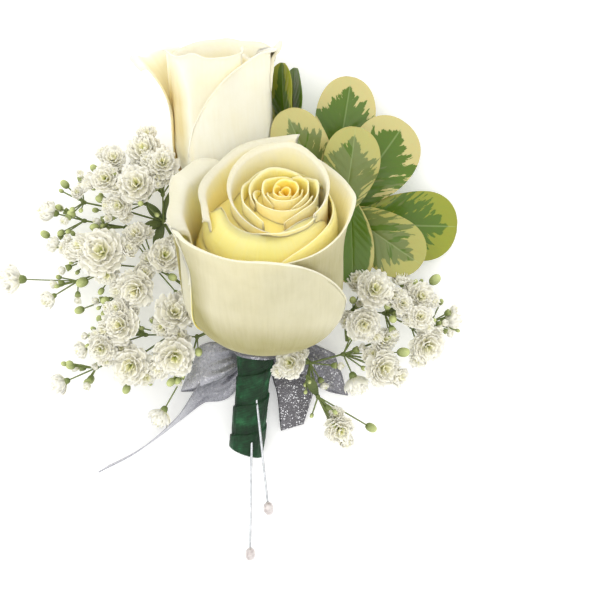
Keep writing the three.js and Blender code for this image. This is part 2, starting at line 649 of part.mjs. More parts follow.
const SPRAYS = {
  upper_left: {
    seed: 11,
    stem: [[-10, 9, 9], [-19, 22, 7.5], [-27, 34, 9]],
    forks: [
      {
        at: [-30.6, 40, 12],
        heads: [["leaf", -28, 50, 11], ["leaf", -36, 46, 9], ["leaf", -33.5, 32, 12], ["leaf", -37.5, 38, 14]],
        forks: [
          {
            at: [-30.8, 48.3, 14],
            heads: [["open", -36, 60.9, 16, 5.1], ["open", -30.8, 57.4, 21, 4.2]],
          },
          {
            at: [-36, 45.5, 15],
            heads: [["open", -38.4, 51, 22, 5.4], ["open", -43.5, 45, 19, 3.6]],
            forks: [
              {
                at: [-44.5, 50.5, 15],
                heads: [
                  ["open", -47.7, 52.8, 20, 4.2], ["side", -53.2, 51, 17, 2.6], ["bud", -51.3, 56, 15, 1.1],
                  ["open", -45.6, 58.6, 17, 3.6], ["bud", -48.9, 60.6, 13, 1.1],
                ],
              },
            ],
          },
          {
            at: [-41.4, 43.2, 11],
            heads: [["bud", -49.5, 46.8, 16, 1.2]],
            forks: [
              { at: [-54.6, 45.9, 11], heads: [["side", -56.1, 48.5, 17, 2.2], ["bud", -60.3, 51.3, 9, 1.2]] },
            ],
          },
          {
            at: [-42, 38.4, 9],
            heads: [["bud", -51.2, 38.4, 15, 1.2]],
            forks: [
              { at: [-54.5, 40.4, 9], heads: [["side", -64.4, 42.9, 11, 3.7], ["bud", -58.2, 42.3, 14, 1.2]] },
            ],
          },
        ],
      },
    ],
  },
  middle_left: {
    seed: 23,
    stem: [[-11, 9, 12], [-21, 18, 12], [-29, 24, 13.5]],
    forks: [
      {
        at: [-33, 26, 14],
        heads: [
          ["open", -30.4, 29.6, 17.5, 4.6], ["open", -38.6, 19.8, 19, 5.1], ["open", -38.6, 36.2, 18, 3.4],
          ["bud", -27.9, 23.4, 18, 1.2], ["side", -26.2, 18.2, 17.5, 2.6],
        ],
        forks: [
          {
            at: [-44, 27, 13],
            heads: [
              ["open", -48.9, 30.9, 19.5, 6.4], ["side", -41.2, 31.2, 21, 2.8], ["bud", -54.9, 21.9, 13, 1.5],
            ],
            forks: [
              {
                at: [-53, 29, 11],
                heads: [["open", -57.6, 31.4, 15, 3], ["side", -63, 33, 12, 2.7], ["bud", -66.2, 36.2, 9, 1.2]],
              },
              {
                at: [-56.4, 22.2, 9.5],
                heads: [["side", -75, 22.8, 8, 4.8], ["side", -64.5, 17.2, 12, 3]],
              },
            ],
          },
          { at: [-44, 18, 12], heads: [["bud", -48, 16.4, 16, 1.2], ["bud", -55.8, 13.5, 11, 1.2]] },
        ],
      },
    ],
  },
  lower_left: {
    seed: 37,
    stem: [[-9.5, 6.4, 16.5], [-15, 7.4, 15.5]],
    forks: [
      {
        at: [-20.5, 5.4, 14.5],
        heads: [["bud", -20, 1, 20, 1.2]],
        forks: [
          {
            at: [-22.4, -2.4, 14.5],
            heads: [["side", -31, -17.6, 15.2, 3.9], ["bud", -28.2, -8.1, 18.5, 1.2]],
          },
          {
            at: [-28.5, 6, 13.5],
            heads: [["open", -27.2, 12.4, 20, 5.2], ["open", -27.2, -0.2, 20.5, 5.6]],
            forks: [
              {
                at: [-36, 6, 13],
                heads: [
                  ["open", -43.3, 8.7, 19, 4.8], ["bud", -38.6, 10.2, 18, 1.1], ["open", -44.4, 13.8, 20, 2.8],
                ],
                forks: [
                  {
                    at: [-45.5, 5.6, 12],
                    heads: [
                      ["open", -49, 2.2, 18, 3.8], ["side", -54.4, 1.8, 13, 2.8], ["bud", -49.5, 10.4, 11, 1.2],
                    ],
                  },
                ],
              },
              {
                at: [-36.5, 0.6, 11.5],
                heads: [["open", -40.2, -3, 17.5, 5.2], ["bud", -41.7, -10.2, 12, 1.2]],
                forks: [
                  {
                    at: [-51, -4, 8],
                    heads: [
                      ["side", -61, -8.4, 7, 3.6], ["bud", -58.5, -3.4, 10, 1.1], ["bud", -52.6, -7.4, 8, 1.1],
                    ],
                  },
                ],
              },
            ],
          },
        ],
      },
    ],
  },
  right: {
    seed: 53,
    stem: [],
    forks: [
      {
        at: [8, 7, 11.5],
        heads: [],
        forks: [
          {
            at: [26.5, 13.5, 12],
            heads: [
              ["open", 32.7, 19.6, 20.5, 5.4], ["open", 29.6, 9.4, 20, 4.6], ["bud", 26.4, 16.4, 17.5, 1.1],
              ["leaf", 24.5, 4, 14],
            ],
            forks: [
              {
                at: [36, 12.5, 13],
                heads: [
                  ["bud", 38.3, 10.8, 19, 1.2], ["bud", 36.8, 14.6, 18.4, 1.2], ["open", 41.2, 15.4, 19.5, 2.9],
                  ["leaf", 42, 19, 12],
                ],
                forks: [
                  {
                    at: [42, 14.5, 11],
                    heads: [
                      ["open", 46.6, 17.4, 14.5, 3.9], ["side", 41, 22, 14.5, 2.8], ["bud", 51, 22.5, 13, 1.5],
                    ],
                  },
                  {
                    at: [44, 8.4, 11.5],
                    heads: [
                      ["open", 46.6, 11.4, 19.6, 3.4], ["open", 48.6, 3, 15, 4.7], ["bud", 48.8, 8.4, 14, 1.1],
                    ],
                    forks: [{ at: [50, 9.8, 10], heads: [["side", 55, 10.2, 9, 3.7]] }],
                  },
                ],
              },
            ],
          },
          {
            at: [13.5, -2.5, 12.5],
            heads: [["open", 7.8, -2.4, 20.5, 4.1]],
            forks: [
              {
                at: [23.5, 0.2, 12.5],
                heads: [
                  ["open", 35.4, -4, 17, 5], ["side", 27, -7.6, 11.5, 4.2], ["open", 35.4, 4.4, 15.5, 3.3],
                  ["bud", 41.4, 0.8, 18, 1.5],
                ],
              },
              {
                at: [15.9, -12.6, 12.5],
                heads: [
                  ["open", 22.2, -22.2, 12.5, 4.2], ["bud", 31.8, -21.9, 9, 1.4], ["leaf", 12.5, -6, 16.5],
                ],
              },
            ],
          },
        ],
      },
    ],
  },
};

function gypsophila(name) {
  const spray = SPRAYS[name];
  const draw = drawFrom(spray.seed);
  const path = [...spray.stem, spray.forks[0].at].map((p) => v3(...p));
  const solids = [boundStem(name, path, SPRAY_STEM_RADIUS, SPRAY_SIDES, 5)];
  for (const fork of spray.forks) growFork(fork, v3(...fork.at), solids, draw);
  return joined(solids);
}

// Ribbon

// A strip along a path, with a direction across it and a half width at each of the path's points.
// A slanted end makes the strip longer on one side than on the other.
function ribbonStrip({ path, across, widths, steps, slant = 0, pleat = 0.5 }) {
  const middle = new THREE.CatmullRomCurve3(path.map((p) => v3(...p)));
  const direction = new THREE.CatmullRomCurve3(across.map((p) => v3(...p)));
  const widthAt = (t) => {
    const place = Math.min(t, 0.9999) * (widths.length - 1);
    const index = Math.max(Math.floor(place), 0);
    return mix(widths[index], widths[index + 1], place - index);
  };
  const point = (u, v) => {
    const t = Math.min(Math.max(v * (1 + slant * u * ramp(v, 0.5, 1)), 0), 1);
    const side = direction.getPoint(t).normalize();
    const face = new THREE.Vector3().crossVectors(middle.getTangent(t), side).normalize();
    const fold = pleat * Math.cos(1.5 * Math.PI * u) * (1 - ramp(t, 0, 0.6));
    return middle.getPoint(t).addScaledVector(side, u * widthAt(t)).addScaledVector(face, fold);
  };
  const rows = Array.from({ length: steps + 1 }, (_, i) => i / steps);
  return sheet(point, [-1, -0.35, 0.35, 1], rows, RIBBON_THICKNESS);
}

const KNOT = [-3.2, 1.6, 4.2];
const BOW_STRIPS = [
  {
    path: [
      KNOT, [-12, -1.6, 8.2], [-19, -3.2, 9.4], [-22.6, -4.2, 6.2], [-18, -3.8, 3.4], [-10, -1.2, 3], KNOT,
    ],
    across: [
      [0, 1, 0], [0.2, 0.98, 0], [0.32, 0.95, 0], [0.4, 0.9, 0], [0.32, 0.95, 0], [0.1, 1, 0], [0, 1, 0],
    ],
    widths: [2.4, 5.6, RIBBON_HALF_WIDTH, RIBBON_HALF_WIDTH, RIBBON_HALF_WIDTH, 5, 2.4],
    steps: 11,
  },
  {
    path: [KNOT, [8, -0.6, 5.6], [17, -3.6, 7.6], [23, -6, 5.6], [18, -5, 3], [9, -1.6, 2.6], KNOT],
    across: [
      [0, 1, 0], [0.1, 1, 0], [-0.2, 0.98, 0], [-0.3, 0.95, 0], [-0.2, 0.98, 0], [0, 1, 0], [0, 1, 0],
    ],
    widths: [2.4, 5, 6.6, 6.6, 6.4, 4.6, 2.4],
    steps: 11,
  },
  {
    path: [
      KNOT, [-12, -7, 2.4], [-19.5, -12.2, 4.6], [-26.4, -19.6, 7.4], [-38, -28.8, 7.7], [-50.2, -35.2, 7.7],
    ],
    across: [[-0.4, 0.9, 0], [-0.4, 0.9, 0.2], [-0.12, 0.3, 0.9], [0, 0.08, 1], [0, 0, 1], [0, 0, 1]],
    widths: [2.4, 5.4, 6.6, 7.2, RIBBON_HALF_WIDTH, RIBBON_HALF_WIDTH],
    steps: 10,
    slant: 0.05,
  },
  {
    path: [KNOT, [4.6, -1.2, 3.4], [8.4, -8, 3.6], [11.4, -17.4, 2]],
    across: [[0.3, 0.95, 0], [0.9, 0.4, 0], [0.96, 0.26, 0], [0.95, 0.28, 0.05]],
    widths: [2.4, 5.2, 7, 7.2],
    steps: 8,
    slant: -0.22,
  },
];

// The two loops and two tails meet in the knot behind the neck, and the band goes round the tape from there.
function ribbonBow() {
  const strips = BOW_STRIPS.map(ribbonStrip);
  const end = 0.5 * KNOT_LENGTH;
  const shoulder = 0.7 * KNOT_RADIUS;
  const knot = turned(
    [[0, -end], [shoulder, -0.85 * end], [KNOT_RADIUS, 0], [shoulder, 0.85 * end], [0, end]],
    8,
    v3(...KNOT),
    v3(1, 0.1, 0),
  );
  const inner = BAND_INNER_RADIUS;
  const outer = inner + BAND_THICKNESS;
  const edge = outer - 0.15;
  const half = BAND_HALF_WIDTH;
  const ring = turned(
    [[inner, -half], [edge, -half], [outer, 0], [edge, half], [inner, half], [inner, -half]],
    20,
    inWrap(WRAP_LENGTH - half, 0, 0),
    wrapFrame.along,
  );
  return joined([...strips, knot, ring]);
}

// Materials

function matte(color, roughness = 0.7) {
  return new THREE.MeshStandardMaterial({ color, roughness, metalness: 0, side: THREE.DoubleSide });
}

function metal(color, roughness) {
  return new THREE.MeshStandardMaterial({ color, roughness, metalness: 1, side: THREE.DoubleSide });
}

const FINISH = {
  frontPetal: matte("#efe9cf", 0.6),
  backPetal: matte("#eee7d6", 0.6),
  rosegreen: matte("#6f8f4a", 0.65),
  leaf: matte("#9db06a", 0.5),
  spray: matte("#f1eee2", 0.7),
  tape: matte("#1f5a33", 0.6),
  ribbon: metal("#9a99a3", 0.4),
  steel: metal("#b8bcc0", 0.2),
  pearl: matte("#ece4dd", 0.25),
};

// Assembly

const frontRose = roseBloom(FRONT_ROSE, FRONT_PETALS, FRONT_HEART);
const backRose = roseBloom(BACK_ROSE, BACK_PETALS, BACK_HEART);
const frontSepal = { angle: 90, reach: 9.4, width: 3, lift: 1.4 };
const backSepal = { angle: 100, reach: 6.2, width: 2, lift: 0.9 };
const frontStem = boundStem("front_rose", [], ROSE_STEM_RADIUS, ROSE_STEM_SIDES, 1);
const backStem = boundStem("back_rose", BACK_STEM, ROSE_STEM_RADIUS, ROSE_STEM_SIDES, 7);
const twigStem = boundStem("twig", TWIG, TWIG_RADIUS, TWIG_SIDES, 7);
const sideTwig = tube(SIDE_TWIG, LEAF_STALK_RADIUS, 5, 5);
const frontCalyx = roseCalyx(FRONT_ROSE, { radius: 4.4, height: 4.6 }, frontSepal, frontStem);
const backCalyx = roseCalyx(BACK_ROSE, { radius: 3.4, height: 4 }, backSepal, backStem);

// The front rose's cup and sepals sit in a stepped hollow in the tape's upper end.
const ROSE_HOLLOW = [[0, -6.5], [5, -6.5], [5, -2], [13, -2], [13, 6], [0, 6]];
const channels = [
  channel("front_rose", ROSE_STEM_RADIUS, ROSE_STEM_SIDES),
  channel("back_rose", ROSE_STEM_RADIUS, ROSE_STEM_SIDES),
  channel("twig", TWIG_RADIUS, TWIG_SIDES),
  ...Object.keys(SPRAYS).map((name) => channel(name, SPRAY_STEM_RADIUS, SPRAY_SIDES)),
  turned(ROSE_HOLLOW, 10, FRONT_ROSE.base, roseFrame(FRONT_ROSE).along),
  ...PINS.map((pin) => pinShank(pin, CLEARANCE)),
];

const parts = [
  ["front_rose_bloom", frontRose, FINISH.frontPetal],
  ["front_rose_stem", frontCalyx, FINISH.rosegreen],
  ["back_rose_bloom", backRose, FINISH.backPetal],
  ["back_rose_stem", backCalyx, FINISH.rosegreen],
  ["pittosporum_sprig", leafySprig(LEAVES, twigStem, ROSETTE), FINISH.leaf],
  ["pittosporum_side_sprig", leafySprig(SIDE_LEAVES, sideTwig, SIDE_TWIG[2]), FINISH.leaf],
  ...Object.keys(SPRAYS).map((name) => [`gypsophila_${name}`, gypsophila(name), FINISH.spray]),
  ["floral_tape_wrap", tapeBody().subtract(joined(channels)), FINISH.tape],
  ["ribbon_bow", ribbonBow(), FINISH.ribbon],
  ...PINS.flatMap((pin) => [
    [`${pin.name}_shank`, pinShank(pin, 0), FINISH.steel],
    [`${pin.name}_pearl`, pinPearl(pin), FINISH.pearl],
  ]),
];

// Joining can seal a hollow between two petals, which is filled by keeping the outermost skin alone.
function meshOf([name, solid, material]) {
  const [body] = solid.simplify(SMALLEST_STEP).decompose().sort((a, b) => b.volume() - a.volume());
  const mesh = body.getMesh();
  const stride = mesh.numProp;
  const positions = new Float32Array(mesh.numVert * 3);
  for (let i = 0; i < mesh.numVert; i++) {
    positions.set(mesh.vertProperties.subarray(i * stride, i * stride + 3), i * 3);
  }
  const geometry = new THREE.BufferGeometry()
    .setAttribute("position", new THREE.BufferAttribute(positions, 3))
    .setIndex(new THREE.BufferAttribute(mesh.triVerts, 1));
  geometry.computeVertexNormals();
  const made = new THREE.Mesh(geometry, material);
  made.name = name;
  return made;
}

// The origin is under the middle of the whole object, on the surface that it lies on.
const boutonniere = new THREE.Group();
parts.forEach((part) => boutonniere.add(meshOf(part)));
const box = new THREE.Box3().setFromObject(boutonniere);
const middle = box.getCenter(new THREE.Vector3());
boutonniere.position.set(-middle.x, -middle.y, -box.min.z);
boutonniere.updateMatrixWorld(true);

export default boutonniere;
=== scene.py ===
"""A boutonniere of two cream roses, variegated pittosporum and gypsophila, laid on its back.

The stems are bound with green floral tape and a silver ribbon, and two pearl-headed pins are pushed into the
tape. Shapes are worked out in millimetres in the maker's own axes (X right, Y towards the flowers, Z up from
the table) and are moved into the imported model's frame when they become meshes.
"""

from __future__ import annotations

import logging
import math
from collections.abc import Callable, Sequence
from dataclasses import dataclass, field
from enum import Enum

import bpy
import numpy as np
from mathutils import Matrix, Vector


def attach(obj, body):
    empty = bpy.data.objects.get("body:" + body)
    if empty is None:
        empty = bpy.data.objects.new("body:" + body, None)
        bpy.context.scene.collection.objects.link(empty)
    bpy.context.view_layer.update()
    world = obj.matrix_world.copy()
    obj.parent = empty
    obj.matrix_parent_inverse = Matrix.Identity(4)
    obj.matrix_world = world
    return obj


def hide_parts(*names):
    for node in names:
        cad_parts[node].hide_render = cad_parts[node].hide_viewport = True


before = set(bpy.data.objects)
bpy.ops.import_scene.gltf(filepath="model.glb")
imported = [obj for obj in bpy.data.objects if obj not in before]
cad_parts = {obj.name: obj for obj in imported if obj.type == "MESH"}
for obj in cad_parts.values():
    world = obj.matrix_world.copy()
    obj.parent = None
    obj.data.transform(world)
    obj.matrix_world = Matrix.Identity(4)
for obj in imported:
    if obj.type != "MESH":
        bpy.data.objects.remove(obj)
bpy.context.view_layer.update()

log = logging.getLogger("boutonniere")

Array = np.ndarray
Number = Array | float
Triple = tuple[float, float, float]
Pair = tuple[float, float]
Stops = tuple[tuple[float, str], ...]
Draw = Callable[[], float]

MM = 0.001
# From the maker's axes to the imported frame, whose origin is under the middle of the whole box.
SHIFT = np.array([10.202, -16.860, 0.0])
# Light goes equally deep into a petal in red, green and blue.
EVEN = (1.0, 1.0, 1.0)


# Numbers and vectors


def ramp(value: Number, low: float, high: float) -> Number:
    """Goes from 0 at low to 1 at high in a straight line, and stays there."""
    return np.clip((value - low) / (high - low), 0.0, 1.0)


def mix(first: Number, second: Number, share: Number) -> Number:
    """Goes from first to second as share goes from 0 to 1."""
    return first + (second - first) * share


def vec(*numbers: float) -> Array:
    """A vector from its numbers."""
    return np.array(numbers, dtype=float)


def stack(*numbers: Number) -> Array:
    """Vectors from one number or array for each of their parts."""
    return np.stack(np.broadcast_arrays(*numbers), -1)


def unit(vectors: Array) -> Array:
    """Vectors of length 1 with the same directions."""
    return vectors / np.maximum(np.linalg.norm(vectors, axis=-1, keepdims=True), 1e-9)


def turns(count: int) -> Array:
    """Angles that go once round in even steps."""
    return np.linspace(0, 2 * math.pi, count, endpoint=False)


def around(radius: Number, turn: Number) -> tuple[Number, Number]:
    """Steps to the right and to the back that lead to a radius and an angle."""
    return radius * np.cos(turn), radius * np.sin(turn)


def circle(turn: Array, right: Array, back: Array) -> Array:
    """Unit vectors at angles that are counted from right towards back."""
    return np.cos(turn)[..., None] * right + np.sin(turn)[..., None] * back


def axes_along(direction: Array) -> Array:
    """Three unit vectors as rows: to the right of a direction, to its back, and along it."""
    along = unit(direction)
    right = unit(vec(1, 0, 0) - along * along[0])
    return np.stack([right, np.cross(along, right), along])


def drawer(seed: int) -> Draw:
    """A repeatable draw of numbers between 0 and 1, each worked out from the last by a product and a sum.

    Args:
        seed: where the run of numbers starts.

    Returns:
        A function that gives the next number.
    """
    factor, step, span = 1664525, 1013904223, 2**32
    state = seed

    def draw() -> float:
        """The next number."""
        nonlocal state
        state = (state * factor + step) % span
        return state / span

    return draw


def bent_path(points: Sequence[Array], count: int) -> Array:
    """The curve of three control points, (1-t)^2 a + 2t(1-t) b + t^2 c.

    Args:
        points: the three control points.
        count: how many points to give.

    Returns:
        The points, from the first to the last.
    """
    t = np.linspace(0, 1, count)[:, None]
    a, b, c = (np.asarray(p, float) for p in points)
    return (1 - t) ** 2 * a + 2 * t * (1 - t) * b + t**2 * c


def smooth_path(points: Sequence[Sequence[float]], shares: Array) -> Array:
    """A smooth curve through points: cubic spans whose slopes are eased by the root of each distance.

    Args:
        points: the places that the curve passes.
        shares: where on it to read, from 0 to 1, with each span taking the same share.

    Returns:
        One point for each share.
    """
    knots = np.asarray(points, float)
    knots = np.vstack([2 * knots[0] - knots[1], knots, 2 * knots[-1] - knots[-2]])
    spans = len(knots) - 3
    place = np.clip(shares, 0, 1) * spans
    index = np.minimum(place.astype(int), spans - 1)
    t = (place - index)[:, None]
    p0, p1, p2, p3 = (knots[index + k] for k in range(4))
    d0, d1, d2 = (
        np.maximum(np.sqrt(np.linalg.norm(b - a, axis=1)), 1e-3)[:, None]
        for a, b in ((p0, p1), (p1, p2), (p2, p3))
    )
    m1 = ((p1 - p0) / d0 - (p2 - p0) / (d0 + d1) + (p2 - p1) / d1) * d1
    m2 = ((p2 - p1) / d1 - (p3 - p1) / (d1 + d2) + (p3 - p2) / d2) * d1
    return (((2 * p1 - 2 * p2 + m1 + m2) * t - 3 * p1 + 3 * p2 - 2 * m1 - m2) * t + m1) * t + p1


# Skins: closed surfaces as arrays


@dataclass
class Skin:
    """A closed surface as arrays, with what its finish reads from it.

    Attributes:
        points: one row of x, y, z in millimetres for each point.
        faces: four corner numbers for each face; a triangle repeats its last one.
        place: where each point lies on its own blade or tube, and a number for the blade.
        tone: where each point's colour lies in its finish's range.
        look: three more numbers for the finish.
    """

    points: Array
    faces: Array
    place: Array
    tone: Array
    look: Array

    @staticmethod
    def join(skins: Sequence[Skin]) -> Skin:
        """One skin that holds several.

        Args:
            skins: the skins.

        Returns:
            A skin with all their points and faces.
        """
        starts = np.cumsum([0] + [len(skin.points) for skin in skins[:-1]])
        faces = np.concatenate([skin.faces + start for skin, start in zip(skins, starts)])
        points, *others = (
            np.concatenate([getattr(skin, part) for skin in skins])
            for part in ("points", "place", "tone", "look")
        )
        return Skin(points, faces, *others)

    def facing_out(self) -> Skin:
        """Turns the skin round if the volume that its faces enclose is negative.

        Returns:
            The same skin, with its faces pointing outwards.
        """
        a, b, c, d = (self.points[self.faces[:, k]] for k in range(4))
        volume = (np.cross(a, b) * c).sum() + (np.cross(a, c) * d).sum()
        if volume < 0:
            triangle = self.faces[:, 2] == self.faces[:, 3]
            turned = self.faces[:, ::-1].copy()
            turned[triangle] = self.faces[triangle][:, [2, 1, 0, 0]]
            self.faces = turned
        return self


def blades(
    points: Array,
    thickness: Number,
    place: Array,
    tone: Number,
    under: Number | None = None,
    look: Triple = (0.0, 0.0, 0.0),
    pressed: bool = False,
) -> Skin:
    """Closed thin blades: each grid is laid off by half its thickness along its own normal to both sides.

    The normal is the cross product of the grid's steps across and along, and a strip of faces joins the two
    sides round the rim.

    Args:
        points: grids as blade, row, column, xyz, or one grid as row, column, xyz.
        thickness: in millimetres, one number or one for each grid point.
        place: where each grid point lies on its blade, and the blade's number.
        tone: colour of the upper side.
        under: colour of the lower side, the same as tone if it is left out.
        look: three more numbers for the finish, the same all over.
        pressed: True where the blade is pressed flat by the table at height 0.

    Returns:
        The blades as one skin.
    """
    points = points.reshape(-1, *points.shape[-3:])
    shape = points.shape[:3]
    count, rows, columns = shape
    normal = unit(np.cross(np.gradient(points, axis=2), np.gradient(points, axis=1)))
    deep = np.broadcast_to(thickness, shape)[..., None]
    upper, lower = points + 0.5 * deep * normal, points - 0.5 * deep * normal
    if pressed:
        below = upper[..., 2] < lower[..., 2]
        floor = np.where(below, 0.0, deep[..., 0])
        upper[..., 2] = np.maximum(upper[..., 2], floor)
        lower[..., 2] = np.maximum(lower[..., 2], deep[..., 0] - floor)
    size = rows * columns
    index = np.arange(size).reshape(rows, columns)
    top = stack(index[:-1, :-1], index[:-1, 1:], index[1:, 1:], index[1:, :-1]).reshape(-1, 4)
    rim = np.concatenate([index[0], index[1:, -1], index[-1, -2::-1], index[-2:0:-1, 0]])
    after = np.roll(rim, -1)
    faces = np.concatenate([top, top[:, ::-1] + size, stack(after, rim, rim + size, after + size)])
    faces = faces + (2 * size * np.arange(count))[:, None, None]
    both = np.stack([upper, lower], axis=1).reshape(-1, 3)
    places = np.stack([np.broadcast_to(place, points.shape)] * 2, axis=1)
    tones = [np.broadcast_to(side, shape) for side in (tone, tone if under is None else under)]
    looks = np.tile(look, (len(both), 1))
    return Skin(both, faces.reshape(-1, 4), places.reshape(-1, 3), np.stack(tones, 1).reshape(-1), looks)


def rings(loops: Array, tone: Number = 0.0) -> Skin:
    """A closed skin through loops of points, with a fan of triangles to the middle of each end loop.

    Args:
        loops: the loops as loop, point, xyz.
        tone: colour, one number or one for each loop.

    Returns:
        The closed skin.
    """
    count, sides = loops.shape[:2]
    index = np.arange(count * sides).reshape(count, sides)
    after = np.roll(index, -1, axis=1)
    quads = stack(index[:-1], after[:-1], after[1:], index[1:]).reshape(-1, 4)
    start, end = count * sides, count * sides + 1
    fans = [stack(start, after[0], index[0], index[0]), stack(end, index[-1], after[-1], after[-1])]
    middles = loops.mean(1)
    run = np.append(0, np.cumsum(np.linalg.norm(np.diff(middles, axis=0), axis=1)))
    place = stack(np.arange(sides) / sides, run[:, None], 0.0).reshape(-1, 3)
    tones = np.broadcast_to(np.reshape(tone, (-1, 1)), (count, sides)).reshape(-1)
    points = np.concatenate([loops.reshape(-1, 3), middles[[0, -1]]])
    return Skin(
        points,
        np.concatenate([quads, *fans]),
        np.concatenate([place, stack(0.0, run[[0, -1]], 0.0)]),
        np.concatenate([tones, tones[[0, -1]]]),
        np.zeros((len(points), 3)),
    ).facing_out()


def tube(path: Array, radius: Number, sides: int = 8, tone: Number = 0.0) -> Skin:
    """A round bar along a path: a circle carried at right angles to it.

    Args:
        path: points along the middle.
        radius: one number, or one for each point.
        sides: how many corners the circle has.
        tone: colour, one number or one for each point.

    Returns:
        The closed skin.
    """
    tangent = unit(np.gradient(path, axis=0))
    spread = np.eye(3)[np.argmin(np.abs(path[-1] - path[0]))]
    side = unit(np.cross(tangent, spread))
    spokes = circle(turns(sides), side[:, None], np.cross(side, tangent)[:, None])
    return rings(path[:, None] + np.reshape(radius, (-1, 1, 1)) * spokes, tone)


def lathe(profile: Array, sides: int, at: Array, direction: Array, tone: Number = 0.0) -> Skin:
    """A body of revolution: a profile of radius and height, turned round an axis.

    Args:
        profile: radius and height, one row for each ring. Both ends are closed on the axis.
        sides: how many points go round.
        at: where height 0 is.
        direction: the way the axis points.
        tone: colour, one number or one for each ring.

    Returns:
        The closed skin.
    """
    right, back, along = axes_along(direction)
    spokes = circle(turns(sides), right, back)
    return rings(at + profile[:, 0, None, None] * spokes + profile[:, 1, None, None] * along, tone)


def shown(name: str, data: bpy.types.ID) -> bpy.types.Object:
    """A new object that holds the data, linked into the scene."""
    made = bpy.data.objects.new(name, data)
    bpy.context.scene.collection.objects.link(made)
    return made


def make_piece(
    name: str, skin: Skin, material: bpy.types.Material, slot: str, *nodes: str
) -> bpy.types.Object:
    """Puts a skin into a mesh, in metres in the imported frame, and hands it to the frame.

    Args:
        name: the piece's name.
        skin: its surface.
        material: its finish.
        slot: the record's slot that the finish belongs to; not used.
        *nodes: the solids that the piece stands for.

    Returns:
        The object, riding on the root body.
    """
    mesh = bpy.data.meshes.new(name)
    four = skin.faces[:, 3] != skin.faces[:, 2]
    kept = np.ones(skin.faces.shape, bool)
    kept[:, 3] = four
    corners = skin.faces[kept]
    sizes = np.where(four, 4, 3)
    mesh.vertices.add(len(skin.points))
    mesh.loops.add(len(corners))
    mesh.polygons.add(len(sizes))
    mesh.vertices.foreach_set("co", ((skin.points + SHIFT) * MM).astype(np.float32).ravel())
    mesh.loops.foreach_set("vertex_index", corners.astype(np.int32))
    mesh.polygons.foreach_set("loop_start", (np.cumsum(sizes) - sizes).astype(np.int32))
    mesh.polygons.foreach_set("use_smooth", np.ones(len(sizes), bool))
    for label, kind, part, values in (
        ("place", "FLOAT_VECTOR", "vector", skin.place),
        ("tone", "FLOAT", "value", skin.tone),
        ("look", "FLOAT_VECTOR", "vector", skin.look),
    ):
        layer = mesh.attributes.new(label, kind, "POINT")
        layer.data.foreach_set(part, values.astype(np.float32).ravel())
    mesh.update(calc_edges=True)
    mesh.validate()
    mesh.materials.append(material)
    made = shown(name, mesh)
    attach(made, "root")
    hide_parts(*nodes)
    log.info("%s: %d points, %d faces", name, len(skin.points), len(sizes))
    return made


# Finishes


def linear(colour: str) -> tuple[float, ...]:
    """An sRGB hex colour as the linear red, green, blue and alpha that shaders take."""
    parts = [int(colour[i : i + 2], 16) / 255 for i in (1, 3, 5)]
    return (*(c / 12.92 if c <= 0.04045 else ((c + 0.055) / 1.055) ** 2.4 for c in parts), 1.0)


def plug(node: bpy.types.Node, inputs: dict) -> None:
    """Sets each input of a node to a value, or links it to an output.

    Args:
        node: the node.
        inputs: for each input's name or number, a value or the output that is linked to it.
    """
    for key, value in inputs.items():
        if isinstance(value, bpy.types.NodeSocket):
            node.id_data.links.new(value, node.inputs[key])
        else:
            node.inputs[key].default_value = value


def add(
    tree: bpy.types.NodeTree, kind: str, inputs: dict | None = None, stops: Stops = (),
    out: int | str | None = 0, **settings: object,
) -> bpy.types.NodeSocket | Sequence[bpy.types.NodeSocket]:
    """Adds one node with its settings and links.

    Args:
        tree: the material's node tree.
        kind: the node's type, without the ShaderNode in front.
        inputs: what its inputs are set or linked to.
        stops: a colour ramp's positions and hex colours.
        out: name or number of the output that is wanted, or None for all of them.
        **settings: the node's own settings.

    Returns:
        That output, or all of them.
    """
    made = tree.nodes.new(f"ShaderNode{kind}")
    for key, value in settings.items():
        setattr(made, key, value)
    plug(made, inputs or {})
    for i, (position, colour) in enumerate(stops):
        elements = made.color_ramp.elements
        stop = elements[i] if i < 2 else elements.new(position)
        stop.position, stop.color = position, linear(colour)
    return made.outputs if out is None else made.outputs[out]


class Finish:
    """A material. Each finish says what the inputs of its principled shader take.

    Attributes:
        name: the material's name.
    """

    name: str

    def sockets(self, tree: bpy.types.NodeTree) -> dict:
        """What the shader takes.

        Args:
            tree: the material's node tree, which the finish adds its nodes to.

        Returns:
            The shader's inputs by name, each with a value or the output that is linked to it.
        """
        raise NotImplementedError

    def build(self) -> bpy.types.Material:
        """Makes the material.

        Returns:
            The material, with its nodes and links.
        """
        material = bpy.data.materials.new(self.name)
        material.use_nodes = True
        tree = material.node_tree
        plug(tree.nodes["Principled BSDF"], self.sockets(tree))
        return material


